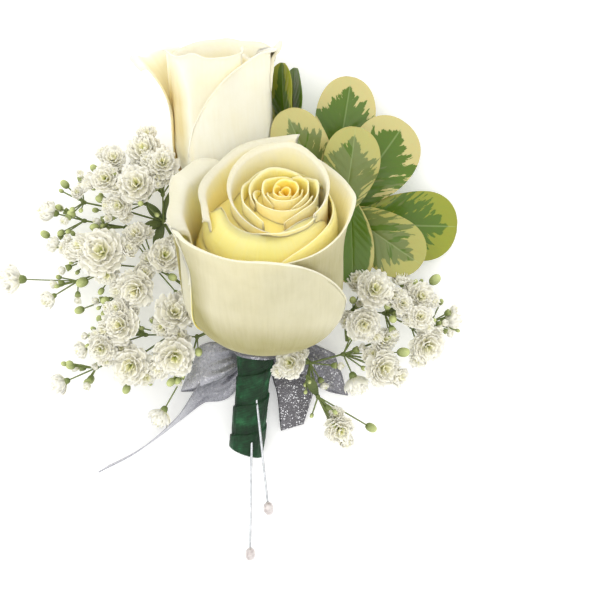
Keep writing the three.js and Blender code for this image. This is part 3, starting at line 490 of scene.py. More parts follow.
@dataclass(frozen=True)
class RosePetal(Finish):
    """Living rose petal: thin, matt like suede, and lit through a little by light from behind.

    The eye sees a soft surface with faint veins that fan out to the rim, cream at the lips, yellow where the
    petals crowd together and greenish at the root.

    Attributes:
        stops: colours from the greenish root, darkest where shade is painted, through the cream lip to the
            golden heart.
        vein: spacing of the veins, in millimetres.
    """

    name: str
    stops: Stops
    vein: float = 0.9

    def sockets(self, tree: bpy.types.NodeTree) -> dict:
        """Veins, blotches and a velvety grain over the petal's tone.

        Args:
            tree: the material's node tree.

        Returns:
            What the shader takes.
        """
        place = add(tree, "Attribute", out="Vector", attribute_name="place")
        tone = add(tree, "Attribute", out="Fac", attribute_name="tone")
        body = add(tree, "TexCoord", out="Object")
        # Veins: noise drawn out 14 times longer along the petal than across it.
        across = add(tree, "Mapping", {"Vector": place, "Scale": (1 / self.vein, 1 / (14 * self.vein), 1.0)})
        veins = add(tree, "TexNoise", {"Vector": across, "Scale": 1.0, "Detail": 3.0, "Roughness": 0.6})
        # Blotches about 8 mm wide, as petals bruise and fade unevenly.
        blotch = add(tree, "TexNoise", {"Vector": body, "Scale": 120.0, "Detail": 3.0})
        shifted = add(tree, "Math", {0: blotch, 1: 0.22, 2: tone}, operation="MULTIPLY_ADD")
        streaked = add(tree, "Math", {0: veins, 1: 0.14, 2: shifted}, operation="MULTIPLY_ADD")
        share = add(tree, "MapRange", {"Value": streaked, "From Min": -0.82, "From Max": 1.18})
        # Cells of about 0.15 mm, drawn at 0.4 mm so that they still show as a velvety grain.
        cells = add(tree, "TexNoise", {"Vector": body, "Scale": 2500.0, "Detail": 1.0})
        height = add(tree, "Math", {0: cells, 1: 0.25, 2: veins}, operation="MULTIPLY_ADD")
        return {
            "Base Color": add(tree, "ValToRGB", {"Fac": share}, self.stops),
            "Normal": add(tree, "Bump", {"Height": height, "Strength": 0.5, "Distance": 0.3 * MM}),
            "Roughness": 0.55,
            "Specular IOR Level": 0.3,
            "Subsurface Weight": 0.85,
            "Subsurface Radius": EVEN,
            "Subsurface Scale": 1.5 * MM,
            "Sheen Weight": 0.12,
        }


@dataclass(frozen=True)
class VariegatedLeaf(Finish):
    """Variegated pittosporum leaf: leathery, with a satin wax coat.

    The eye sees a jagged green patch that follows the side veins, grey-green towards its edge, inside a cream
    to lime margin, with a pale midrib and a soft shine.

    Attributes:
        dark: the middle of the patch.
        grey: the patch's outer part.
        cream: the margin.
        lime: the margin of a young leaf.
        rib: the midrib.
    """

    name: str = "variegated_pittosporum_leaf"
    dark: str = "#527012"
    grey: str = "#717F42"
    cream: str = "#C9BF80"
    lime: str = "#88920A"
    rib: str = "#B9C98A"

    def sockets(self, tree: bpy.types.NodeTree) -> dict:
        """The patch, its margin and the midrib, from the leaf's own u and v.

        Args:
            tree: the material's node tree.

        Returns:
            What the shader takes.
        """
        place = add(tree, "Attribute", out="Vector", attribute_name="place")
        patch = add(tree, "Attribute", out="Fac", attribute_name="tone")
        look = add(tree, "Attribute", out="Vector", attribute_name="look")
        body = add(tree, "TexCoord", out="Object")
        across, along, number = add(tree, "SeparateXYZ", {"Vector": place}, out=None)
        young, grown, plain = add(tree, "SeparateXYZ", {"Vector": look}, out=None)
        ragged = add(tree, "Math", {0: 1.0, 1: plain}, operation="SUBTRACT")
        aside = add(tree, "Math", {0: across}, operation="ABSOLUTE")
        # Side veins run forward from the midrib: a line of them keeps v - 0.35 u the same.
        line = add(tree, "Math", {0: aside, 1: -0.35, 2: along}, operation="MULTIPLY_ADD")
        hand = add(tree, "Math", {0: across}, operation="SIGN")
        other = add(tree, "Math", {0: hand, 1: 3.7, 2: number}, operation="MULTIPLY_ADD")
        scaled = add(tree, "Math", {0: line, 1: 7.0}, operation="MULTIPLY")
        spot = add(tree, "CombineXYZ", {"X": scaled, "Y": aside, "Z": other})
        jagged = add(tree, "TexNoise", {"Vector": spot, "Scale": 1.9, "Detail": 4.0, "Roughness": 0.6})
        jags = {"Value": jagged, "From Min": 0.3, "From Max": 0.7, "To Min": -0.75, "To Max": 0.75}
        spread = add(tree, "MapRange", jags)
        # The patch ends where u passes its width, which falls to nothing before the tip.
        bow = add(tree, "MapRange", {"Value": along, "From Min": 0.92, "From Max": 0.6})
        long = add(tree, "Math", {0: bow, 1: plain}, operation="MAXIMUM")
        width = add(tree, "Math", {0: long, 1: patch}, operation="MULTIPLY")
        uneven = add(tree, "Math", {0: width, 1: ragged}, operation="MULTIPLY")
        reach = add(tree, "Math", {0: spread, 1: uneven, 2: width}, operation="MULTIPLY_ADD")
        inside = add(tree, "Math", {0: reach, 1: aside}, operation="SUBTRACT")
        green = add(tree, "MapRange", {"Value": inside, "From Max": 0.06})
        # An old leaf is dark nearly to the patch's edge, a young one grey-green nearly all over.
        mottle = add(tree, "TexNoise", {"Vector": spot, "Scale": 1.1, "Detail": 3.0})
        age = add(tree, "Math", {0: grown, 1: 0.4, 2: mottle}, operation="MULTIPLY_ADD")
        deep = add(tree, "MapRange", {"Value": age, "From Min": 0.66, "From Max": 0.7})
        rib = add(tree, "MapRange", {"Value": aside, "From Min": 0.04, "From Max": 0.012, "To Max": 0.25})
        blend = {"out": 2, "data_type": "RGBA"}
        margin = add(tree, "Mix", {0: young, 6: linear(self.cream), 7: linear(self.lime)}, **blend)
        middle = add(tree, "Mix", {0: deep, 6: linear(self.grey), 7: linear(self.dark)}, **blend)
        surface = add(tree, "Mix", {0: green, 6: margin, 7: middle}, **blend)
        grain = add(tree, "TexNoise", {"Vector": body, "Scale": 900.0, "Detail": 2.0})
        fine = add(tree, "Math", {0: grain, 1: 0.3, 2: jagged}, operation="MULTIPLY_ADD")
        return {
            "Base Color": add(tree, "Mix", {0: rib, 6: surface, 7: linear(self.rib)}, **blend),
            "Normal": add(tree, "Bump", {"Height": fine, "Strength": 0.35, "Distance": 0.5 * MM}),
            "Roughness": 0.4,
            "Specular IOR Level": 0.35,
            "Coat Weight": 0.2,
            "Coat Roughness": 0.15,
            "Subsurface Weight": 0.12,
            "Subsurface Scale": 1.2 * MM,
        }


@dataclass(frozen=True)
class Toned(Finish):
    """A soft plant surface whose colour runs along the piece's own tone.

    Attributes:
        stops: colours along the tone.
        grain: size of the surface grain, in millimetres.
        roughness: how matt it is.
        relief: height of the grain, in millimetres.
        through: share of light that comes through it.
    """

    name: str
    stops: Stops
    grain: float
    roughness: float
    relief: float
    through: float = 0.0

    def sockets(self, tree: bpy.types.NodeTree) -> dict:
        """Fine grain over the tone.

        Args:
            tree: the material's node tree.

        Returns:
            What the shader takes.
        """
        tone = add(tree, "Attribute", out="Fac", attribute_name="tone")
        body = add(tree, "TexCoord", out="Object")
        grain = add(tree, "TexNoise", {"Vector": body, "Scale": 1000 / self.grain, "Detail": 3.0})
        share = add(tree, "Math", {0: grain, 1: 0.3, 2: tone}, operation="MULTIPLY_ADD")
        level = add(tree, "Math", {0: share, 1: 0.15}, operation="SUBTRACT")
        return {
            "Base Color": add(tree, "ValToRGB", {"Fac": level}, self.stops),
            "Normal": add(tree, "Bump", {"Height": grain, "Strength": 0.5, "Distance": self.relief * MM}),
            "Roughness": self.roughness,
            "Subsurface Weight": self.through,
            "Subsurface Radius": EVEN,
            "Subsurface Scale": 0.5 * MM,
        }


# Waxy green skin of a rose's stem, calyx and sepals, paler where it is young.
STEM_SKIN = Toned(
    "rose_stem_skin", ((0.0, "#4E6B33"), (0.5, "#7C9A52"), (1.0, "#A9BE7C")),
    grain=1.2, roughness=0.5, relief=0.08, through=0.05,
)
# Smooth young bark, brown at its foot and green where the leaf stalks leave it.
TWIG_BARK = Toned(
    "pittosporum_twig_bark", ((0.0, "#5C5A3A"), (0.5, "#7F9A4E"), (1.0, "#B9C77A")),
    grain=0.8, roughness=0.55, relief=0.1,
)
# Papery white petals that glow a little, yellowish green in the flower's middle.
WHITE_PETAL = Toned(
    "gypsophila_petal", ((0.1, "#C6D276"), (0.3, "#F9F5CC"), (0.7, "#FFFCEC")),
    grain=0.6, roughness=0.6, relief=0.05, through=0.6,
)
# Dull grey-green skin of the thin stalks, pale at the buds' tips.
STALK_SKIN = Toned(
    "gypsophila_stalk_skin", ((0.1, "#33421C"), (0.5, "#6C7A3E"), (1.0, "#C6CF8C")),
    grain=0.5, roughness=0.55, relief=0.04, through=0.05,
)


@dataclass(frozen=True)
class FloralTape(Finish):
    """Floral tape: crepe paper with a wax coat, stretched and wound so that each turn laps over the last.

    The eye sees dark green with fine crinkles across the tape, and a waxy shine on the turned-up side.

    Attributes:
        pitch: distance between laps, in millimetres.
        crinkle: spacing of the crepe's crinkles, in millimetres.
    """

    name: str = "waxed_crepe_floral_tape"
    stops: Stops = ((0.45, "#031C0A"), (0.75, "#0A3014"), (0.95, "#174A29"), (1.0, "#256038"))
    pitch: float = 9.5
    crinkle: float = 0.7

    def sockets(self, tree: bpy.types.NodeTree) -> dict:
        """Crinkles that lean with the winding, and dull blotches.

        Args:
            tree: the material's node tree.

        Returns:
            What the shader takes.
        """
        place = add(tree, "Attribute", out="Vector", attribute_name="place")
        body = add(tree, "TexCoord", out="Object")
        around, along, _ = add(tree, "SeparateXYZ", {"Vector": place}, out=None)
        # Crinkles stand across the tape, so they run nearly along the stem and lean with the winding.
        lean = add(tree, "Math", {0: along, 1: 0.6 / self.pitch, 2: around}, operation="MULTIPLY_ADD")
        spot = add(tree, "CombineXYZ", {"X": lean, "Y": along})
        drawn = add(tree, "Mapping", {"Vector": spot, "Scale": (30 / self.crinkle, 0.35, 1.0)})
        crepe = add(tree, "TexNoise", {"Vector": drawn, "Scale": 1.0, "Detail": 4.0, "Roughness": 0.6})
        blotch = add(tree, "TexNoise", {"Vector": body, "Scale": 260.0, "Detail": 3.0})
        both = add(tree, "Math", {0: crepe, 1: 0.6, 2: blotch}, operation="MULTIPLY_ADD")
        return {
            "Base Color": add(tree, "ValToRGB", {"Fac": both}, self.stops),
            "Normal": add(tree, "Bump", {"Height": crepe, "Strength": 0.6, "Distance": 0.3 * MM}),
            "Roughness": 0.5,
            "Specular IOR Level": 0.3,
        }


@dataclass(frozen=True)
class SilverRibbon(Finish):
    """Silver ribbon: metallised threads woven into a thin grey ground.

    The eye sees a satin grey sheen that turns bright or dark with the light, painted into the colour as light
    and shade strip by strip, and sparks from single threads, painted in as bright glints.

    Attributes:
        stops: the ground, from a grey painted as lit to a grey painted as in shade.
        thread: spacing of the threads, in millimetres. Real ones are 0.15 mm apart and wouldn't show.
        glint_size: size of a painted glint, in millimetres. Real ones are 0.15 mm apart and wouldn't show.
    """

    name: str = "silver_metallised_thread_ribbon"
    stops: Stops = ((0.0, "#B2B2BA"), (0.35, "#8F8E97"), (0.85, "#68666A"))
    thread: float = 0.35
    glint_size: float = 0.26

    def sockets(self, tree: bpy.types.NodeTree) -> dict:
        """A woven ground with painted shade of soft folds, and single smooth cells painted bright as glints.

        Args:
            tree: the material's node tree.

        Returns:
            What the shader takes.
        """
        place = add(tree, "Attribute", out="Vector", attribute_name="place")
        painted_shade = add(tree, "Attribute", out="Fac", attribute_name="tone")
        body = add(tree, "TexCoord", out="Object")
        weave = add(
            tree, "TexWave",
            {"Vector": place, "Scale": 0.31 / self.thread, "Distortion": 1.2, "Detail": 1.0,
             "Detail Scale": 2.0},
            out="Fac", wave_type="BANDS", bands_direction="Y",
        )
        cells = add(tree, "TexVoronoi", {"Vector": body, "Scale": 1000 / self.glint_size}, out="Color")
        cell = add(tree, "SeparateColor", {"Color": cells})
        painted_glints = add(tree, "MapRange", {"Value": cell, "From Min": 0.86, "From Max": 0.98})
        # Painted shade of soft folds: noise that darkens and lightens the ground.
        painted_fold_shade = add(tree, "TexNoise", {"Vector": body, "Scale": 140.0, "Detail": 2.0})
        # Painted light and shade: the piece's own level, with the painted fold shade, picks the ground's
        # grey.
        level = add(tree, "Math", {0: painted_fold_shade, 1: -0.3, 2: painted_shade}, operation="MULTIPLY_ADD")
        ground = add(tree, "ValToRGB", {"Fac": level}, self.stops)
        # Painted glints: single cells turned nearly white in the base colour. The same cells are also made
        # smoother, which is real.
        bright = {0: painted_glints, 6: ground, 7: linear("#F2F2F6")}
        height = add(tree, "Math", {0: cell, 1: 0.5, 2: weave}, operation="MULTIPLY_ADD")
        return {
            "Base Color": add(tree, "Mix", bright, out=2, data_type="RGBA"),
            "Normal": add(tree, "Bump", {"Height": height, "Strength": 0.5, "Distance": 0.12 * MM}),
            "Roughness": add(tree, "MapRange", {"Value": cell, "To Min": 0.5, "To Max": 0.2}),
            "Metallic": 0.72,
        }


@dataclass(frozen=True)
class PinFinish(Finish):
    """A pin's own surfaces: drawn, polished steel wire, or the pearl lacquer of its head.

    The eye sees a thin bright line for the wire, and for the head a milky body under a clear, shiny coat with
    a warm, faintly pink cast.

    Attributes:
        pale: the lighter colour.
        deep: the darker colour.
        metallic: 1 for the wire, a third for the lacquer with its pearl pigment.
        roughness: how dull it is.
        coat: weight of the clear coat.
    """

    name: str
    pale: str
    deep: str
    metallic: float
    roughness: float
    coat: float

    def sockets(self, tree: bpy.types.NodeTree) -> dict:
        """Soft clouds between the two colours.

        Args:
            tree: the material's node tree.

        Returns:
            What the shader takes.
        """
        body = add(tree, "TexCoord", out="Object")
        cloud = add(tree, "TexNoise", {"Vector": body, "Scale": 700.0, "Detail": 2.0})
        return {
            "Base Color": add(tree, "ValToRGB", {"Fac": cloud}, ((0.35, self.deep), (0.65, self.pale))),
            "Normal": add(tree, "Bump", {"Height": cloud, "Strength": 0.1, "Distance": 0.1 * MM}),
            "Metallic": self.metallic,
            "Roughness": self.roughness,
            "Coat Weight": self.coat,
            "Coat Roughness": 0.08,
        }


# Drawn and polished steel wire: a thin bright line with soft grey clouds.
STEEL_WIRE = PinFinish("drawn_steel_wire", "#CFD1D4", "#B6B9BC", metallic=1.0, roughness=0.22, coat=0.0)
# Pearl lacquer over a bead: milky and warm under a clear coat that shows the lamps.
PEARL_LACQUER = PinFinish("pearl_lacquer", "#DDD6D3", "#B9AEAC", metallic=0.35, roughness=0.28, coat=1.0)


@dataclass(frozen=True)
class OpalTable(Finish):
    """Opal light table: frosted plastic, lit weakly from below.

    The eye sees an even, nearly white ground on which shadows stay faint.
    """

    name: str = "opal_light_table"

    def sockets(self, tree: bpy.types.NodeTree) -> dict:
        """Faint grain and a weak glow.

        Args:
            tree: the material's node tree.

        Returns:
            What the shader takes.
        """
        body = add(tree, "TexCoord", out="Object")
        grain = add(tree, "TexNoise", {"Vector": body, "Scale": 900.0, "Detail": 2.0})
        return {
            "Base Color": add(tree, "ValToRGB", {"Fac": grain}, ((0.3, "#F4F4F4"), (0.7, "#F8F8F8"))),
            "Roughness": 0.9,
            "Specular IOR Level": 0.1,
            "Emission Color": linear("#FFFFFF"),
            "Emission Strength": 0.25,
        }


# The bundle that everything is bound into


@dataclass(frozen=True)
class Bundle:
    """The straight stretch of stems that the tape binds, and where each stem lies in it.

    Attributes:
        cut_end: middle of the tape at the cut end.
        neck: middle of the tape at the neck.
        past_neck: how far the tape goes past the neck.
        lines: for each stem, its start and end as right, front and up in the bundle.
    """

    cut_end: Triple = (-5.7, -29.4, 4.6)
    neck: Triple = (-2.7, 0.9, 13.0)
    past_neck: float = 3.4
    lines: dict[str, tuple[Triple, Triple]] = field(
        default_factory=lambda: {
            "front_rose": ((1.6, 0.5, 1.0), (3.37, 1.55, 35.0)),
            "back_rose": ((-1.6, -0.9, 1.0), (-2.6, -2.2, 36.9)),
            "twig": ((1.0, -3.2, 22.0), (2.2, -4.2, 35.9)),
            "upper_left": ((-3.5, 1.1, 22.0), (-4.9, 1.0, 35.9)),
            "middle_left": ((-1.2, 1.3, 22.0), (-2.5, 2.2, 35.9)),
            "lower_left": ((-2.5, 2.7, 22.0), (-3.4, 3.4, 35.9)),
            "right": ((2.4, -1.7, 22.0), (4.9, -2.2, 35.9)),
        }
    )

    @property
    def run(self) -> Array:
        """The way from the cut end to the neck."""
        return vec(*self.neck) - vec(*self.cut_end)

    @property
    def length(self) -> float:
        """Length of the tape."""
        return float(np.linalg.norm(self.run)) + self.past_neck

    def at(self, right: Number, front: Number, up: Number) -> Array:
        """The place that is so far right of the bundle's middle, in front of it and up from the cut end."""
        return vec(*self.cut_end) + stack(right, np.negative(front), up) @ axes_along(self.run)

    def stem(self, name: str, beyond: Sequence[Triple], count: int) -> Array:
        """The middle line of a stem: straight in the bundle, then a smooth curve on from there.

        Args:
            name: which stem.
            beyond: the places that it passes after the bundle.
            count: how many points the curve has.

        Returns:
            Points from the cut end on.
        """
        start, end = (self.at(*place) for place in self.lines[name])
        straight = start + np.linspace(0, 0.94, 12)[:, None] * (end - start)
        if not beyond:
            return np.vstack([straight, end])
        curve = smooth_path([straight[-1], end, *beyond], np.linspace(0, 1, count))
        return np.vstack([straight, curve[1:]])


BUNDLE = Bundle()


# Roses


@dataclass(frozen=True)
class Petal:
    """One petal on a rose's bowl.

    Attributes:
        angle: where its middle is round the rose: 0 right, 90 back, -90 front.
        half: degrees that it spans to each side.
        radius: how far out it stands, in millimetres.
        height: height of its rim.
        fall: share of the height that the rim loses at its left and right side.
        point: height of the small point on the rim.
        tip: where across the petal that point is, from -1 to 1.
        power: how late the rim starts to fall.
        roll: radius of the lip that rolls outwards.
        turn: degrees that the lip rolls through.
        side: radius of the rolled left and right edges.
        centre: where the petal's own axis is, to the right and the back of the rose's.
        closing: how much its top closes over the bud.
        flare: how far its top leans out at its left and its right side, in millimetres.
        painted_side_shade: painted shade added to the tone of its outer face at its left and its right side.
        painted_shade_from: how far across the petal the painted shade starts.
        outside: tone of its outer face: 0 cream, 1 golden.
        inside: tone of its inner face at the lip.
    """

    angle: float
    half: float
    radius: float
    height: float
    fall: Pair = (0.1, 0.1)
    point: float = 1.5
    tip: float = 0.0
    power: float = 3.2
    roll: float = 2.0
    turn: float = 80.0
    side: Pair = (0.0, 0.0)
    centre: Pair = (0.0, 0.0)
    closing: float = 0.0
    flare: Pair = (0.0, 0.0)
    painted_side_shade: Pair = (0.0, 0.0)
    painted_shade_from: float = 0.4
    outside: float = 0.0
    inside: float = 0.2


@dataclass
class Rose:
    """A rose: petals on a bowl round a heart, in a green calyx on a stem.

    Attributes:
        name: front_rose or back_rose.
        base: where the bloom starts on its stem.
        lean: degrees that its axis leans to the right of straight away.
        rise: degrees that its axis rises from the table.
        height: height of the bloom.
        radius: radius of the bowl.
        petals: the petals, outermost first.
        heart: rings of height, radius and shift to the back, of the core that the petals hide.
        cup: radius and height of the calyx.
        sepal: first angle, reach, width and lift of the sepals.
        stem: the places that the stem passes after the bundle.
        finish: the petals' finish.
        heart_tone: how golden the core is.
        slot: the record's slot for the petals.
    """

    name: str
    base: Triple
    lean: float
    rise: float
    height: float
    radius: float
    petals: Sequence[Petal]
    heart: Sequence[Triple]
    cup: Pair
    sepal: tuple[float, float, float, float]
    stem: Sequence[Triple]
    finish: RosePetal
    heart_tone: float
    slot: str

    # Shares of the height at which the bowl is widest, petals start to lean out and their lips turn over.
    WIDEST = 0.45
    FLARE_START = 0.58
    LIP_START = 0.86
    # Share of a petal's half width at which its side edges turn back, and the degrees that they turn through.
    SIDE_START = 0.84
    SIDE_TURN = 100
    # A petal's root: its height, and how far it draws in. Then a petal's thickness, all in millimetres.
    ROOT_HEIGHT = 2.0
    ROOT_SINK = 3.0
    THICKNESS = 0.62

    @property
    def axes(self) -> Array:
        """Right, back and along as rows."""
        rise, lean = math.radians(self.rise), math.radians(self.lean)
        level = math.cos(rise)
        return axes_along(vec(math.sin(lean) * level, math.cos(lean) * level, math.sin(rise)))

    def at(self, right: Number, back: Number, up: Number) -> Array:
        """The place that is so far to the right of the rose's base, to its back and up its axis."""
        return vec(*self.base) + stack(right, back, up) @ self.axes

    def bowl(self, share: Array) -> Array:
        """Share of the radius at a share of the height: round to the widest place, then slightly flared."""
        below = (1 - (1 - np.clip(share, 0, self.WIDEST) / self.WIDEST) ** 2.5) ** 0.4
        return np.where(share < self.WIDEST, below, 1 + 0.04 * ramp(share, self.WIDEST, 1) ** 1.5)

    def petal_points(self, petal: Petal, u: Array, v: Array, phase: float) -> Array:
        """Points of a petal's middle surface.

        The rim's height falls with a power of u and has a small point. From the lip's start on it turns over
        on an arc, and so do the side edges. Two slow waves make the rim uneven, and two finer ones crease the
        petal.

        Args:
            petal: the petal.
            u: across it, from -1 to 1.
            v: up it, from 0 to 1.
            phase: where its waves start.

        Returns:
            Points in the shape of u and v.
        """
        aside, sign = np.abs(u), np.sign(u)
        fall = np.where(u < 0, *petal.fall) * aside**petal.power
        # Small petals are worked less, in proportion to their radius.
        soft = min(1.0, petal.radius / 14)
        wave = 0.55 * np.sin(4.3 * u + phase) + 0.3 * np.sin(9.1 * u + 2.3 * phase)
        point = petal.point * np.exp(-(((u - petal.tip) / 0.14) ** 2))
        rim = petal.height * (1 - fall) + point + 0.5 * soft * wave
        lip_turn = math.radians(petal.turn) * ramp(v, self.LIP_START, 1) * (1 + 0.16 * wave)
        roll = petal.roll * (1 - np.clip(2 * fall, 0, 0.7))
        flare = mix(*petal.flare, ramp(u, -0.6, 0.6))
        leaning = np.arctan(2 * flare / ((1 - self.FLARE_START) * self.height))
        lip_base = rim - roll * (1 - np.sin(leaning))
        up = mix(self.ROOT_HEIGHT, lip_base, np.minimum(v / self.LIP_START, 1))
        up = up + roll * (np.sin(leaning + lip_turn) - np.sin(leaning))
        share = np.minimum(up, lip_base) / self.height
        side_turn = math.radians(self.SIDE_TURN) * ramp(aside, self.SIDE_START, 1)
        side_roll = np.where(u < 0, *petal.side) * ramp(v, 0.15, 0.5)
        fan = np.sin(7.5 * u + 1.9 * v + phase) + 0.5 * np.sin(16 * u - 2.2 * v + 2.1 * phase)
        out = (
            petal.radius * self.bowl(share) * (1 - petal.closing * ramp(share, 0.75, 1) ** 3)
            - self.ROOT_SINK * (1 - ramp(v, 0, 0.28)) ** 2
            + flare * ramp(share, self.FLARE_START, 1) ** 2
            + roll * (np.cos(leaning) - np.cos(leaning + lip_turn))
            + side_roll * (1 - np.cos(side_turn))
            + 0.45 * soft * ramp(v, 0.55, 1) * wave
            + 0.17 * soft * ramp(v, 0.15, 0.7) * fan
        )
        narrow = mix(0.62, 1, np.sin(ramp(v, 0, 0.6) * math.pi * 0.5))
        inner = np.minimum(aside, self.SIDE_START) / self.SIDE_START
        rolled = side_roll * np.sin(side_turn) / np.maximum(out, 4)
        turn = math.radians(petal.angle) + (math.radians(petal.half) * narrow * inner + rolled) * sign
        right, back = around(out, turn)
        settle = ramp(share, 0.1, 0.6)
        return self.at(right + petal.centre[0] * settle, back + petal.centre[1] * settle, up)

    def petal_skin(self, petal: Petal, number: int) -> Skin:
        """One petal as a thin closed blade, thinner towards its rim.

        The root is greenish outside, darkened there with painted shade, and golden inside, and the lips are
        the palest part.

        Args:
            petal: the petal.
            number: which petal of the rose it is.

        Returns:
            The closed blade.
        """
        edge = np.linspace(-1, -self.SIDE_START, 7 if any(petal.side) else 4)
        across = np.concatenate([edge, np.linspace(-self.SIDE_START, self.SIDE_START, 37)[1:-1], -edge[::-1]])
        upward = np.concatenate([np.linspace(0, self.LIP_START, 24)[:-1], np.linspace(self.LIP_START, 1, 12)])
        u, v = np.meshgrid(across, upward)
        aside, lip, root = np.abs(u), ramp(v, 0.78, 1), 1 - ramp(v, 0, 0.42)
        thickness = self.THICKNESS * (1 - 0.55 * ramp(v, 0.8, 1)) * (1 - 0.45 * ramp(aside, 0.85, 1))
        # Painted shade along the petal's left and right sides, golden or darker, fading out towards the lip.
        side_shaded = ramp(aside, petal.painted_shade_from, petal.painted_shade_from + 0.35) * (1 - ramp(v, 0.6, 0.95))
        # The outer face turns greenish and darker towards the root: a real greenish base with painted shade
        # over it.
        outer = petal.outside * (1 - 0.3 * lip) - 0.94 * root * (petal.outside < 0.3)
        outer = outer + np.where(u < 0, *petal.painted_side_shade) * side_shaded
        inner = petal.inside * (1 - 0.5 * lip) + 0.8 * (1 - v) - 0.4 * lip * (petal.inside < 0.35)
        points = self.petal_points(petal, u, v, 1.7 * number)
        place = stack(u * math.radians(petal.half) * petal.radius, v * petal.height, float(number))
        return blades(points, thickness, place, outer, inner, pressed=True)

    def heart_skin(self) -> Skin:
        """The core that closes the bloom under its inner petals, turned round an axis that bends back.

        Returns:
            The closed skin.
        """
        up, radius, shift = (np.array(column)[:, None] for column in zip(*self.heart))
        right, back = around(radius, turns(48))
        loops = self.at(right, back + shift, up)
        loops[..., 2] = np.maximum(loops[..., 2], 0.5)
        return rings(loops, mix(-0.6, self.heart_tone, ramp(up.ravel(), 12, 26)))

    def calyx_skin(self) -> Skin:
        """The green cup, the stem, and five sepals whose half width narrows with a power of 1 - v.

        Returns:
            The closed skin.
        """
        radius, height = self.cup
        profile = np.array(
            [[1.85, -height], [2.3, -0.9 * height], [0.93 * radius, -0.55 * height], [radius, -0.35 * height],
             [0.97 * radius, -0.12 * height], [0.8 * radius, -0.3]]
        )
        cup = lathe(profile, 32, vec(*self.base), self.axes[2], 0.35)
        first, reach, width, lift = self.sepal
        u, v = np.meshgrid(np.linspace(-1, 1, 9), np.linspace(0, 1, 18))
        out = mix(0.5 * radius, reach, v)
        half = width * (1 - v) ** 0.7 * (1 - 0.35 * (1 - v) ** 4) + 0.12
        turn = np.radians(first + 72 * np.arange(5))[:, None, None] + u * half / out
        grids = self.at(*around(out, turn), -0.8 + lift * ramp(v, 0.4, 1) + 0.25 * u**2)
        sepals = blades(grids, 0.45, stack(u * 3, v * 9, 0.0), 0.25 + 0.5 * v)
        path = BUNDLE.stem(self.name, self.stem, 48)
        return Skin.join([cup, sepals, tube(path, 1.55, 16, 0.45)])

    def build(self, green: bpy.types.Material) -> None:
        """Makes the bloom and the calyx with its stem.

        Args:
            green: finish of the calyx and the stem.
        """
        skins = [self.petal_skin(petal, i) for i, petal in enumerate(self.petals)]
        bloom = Skin.join([*skins, self.heart_skin()])
        make_piece(f"{self.name}_petals", bloom, self.finish.build(), self.slot, f"{self.name}_bloom")
        make_piece(f"{self.name}_calyx_and_stem", self.calyx_skin(), green, "rose_green", f"{self.name}_stem")


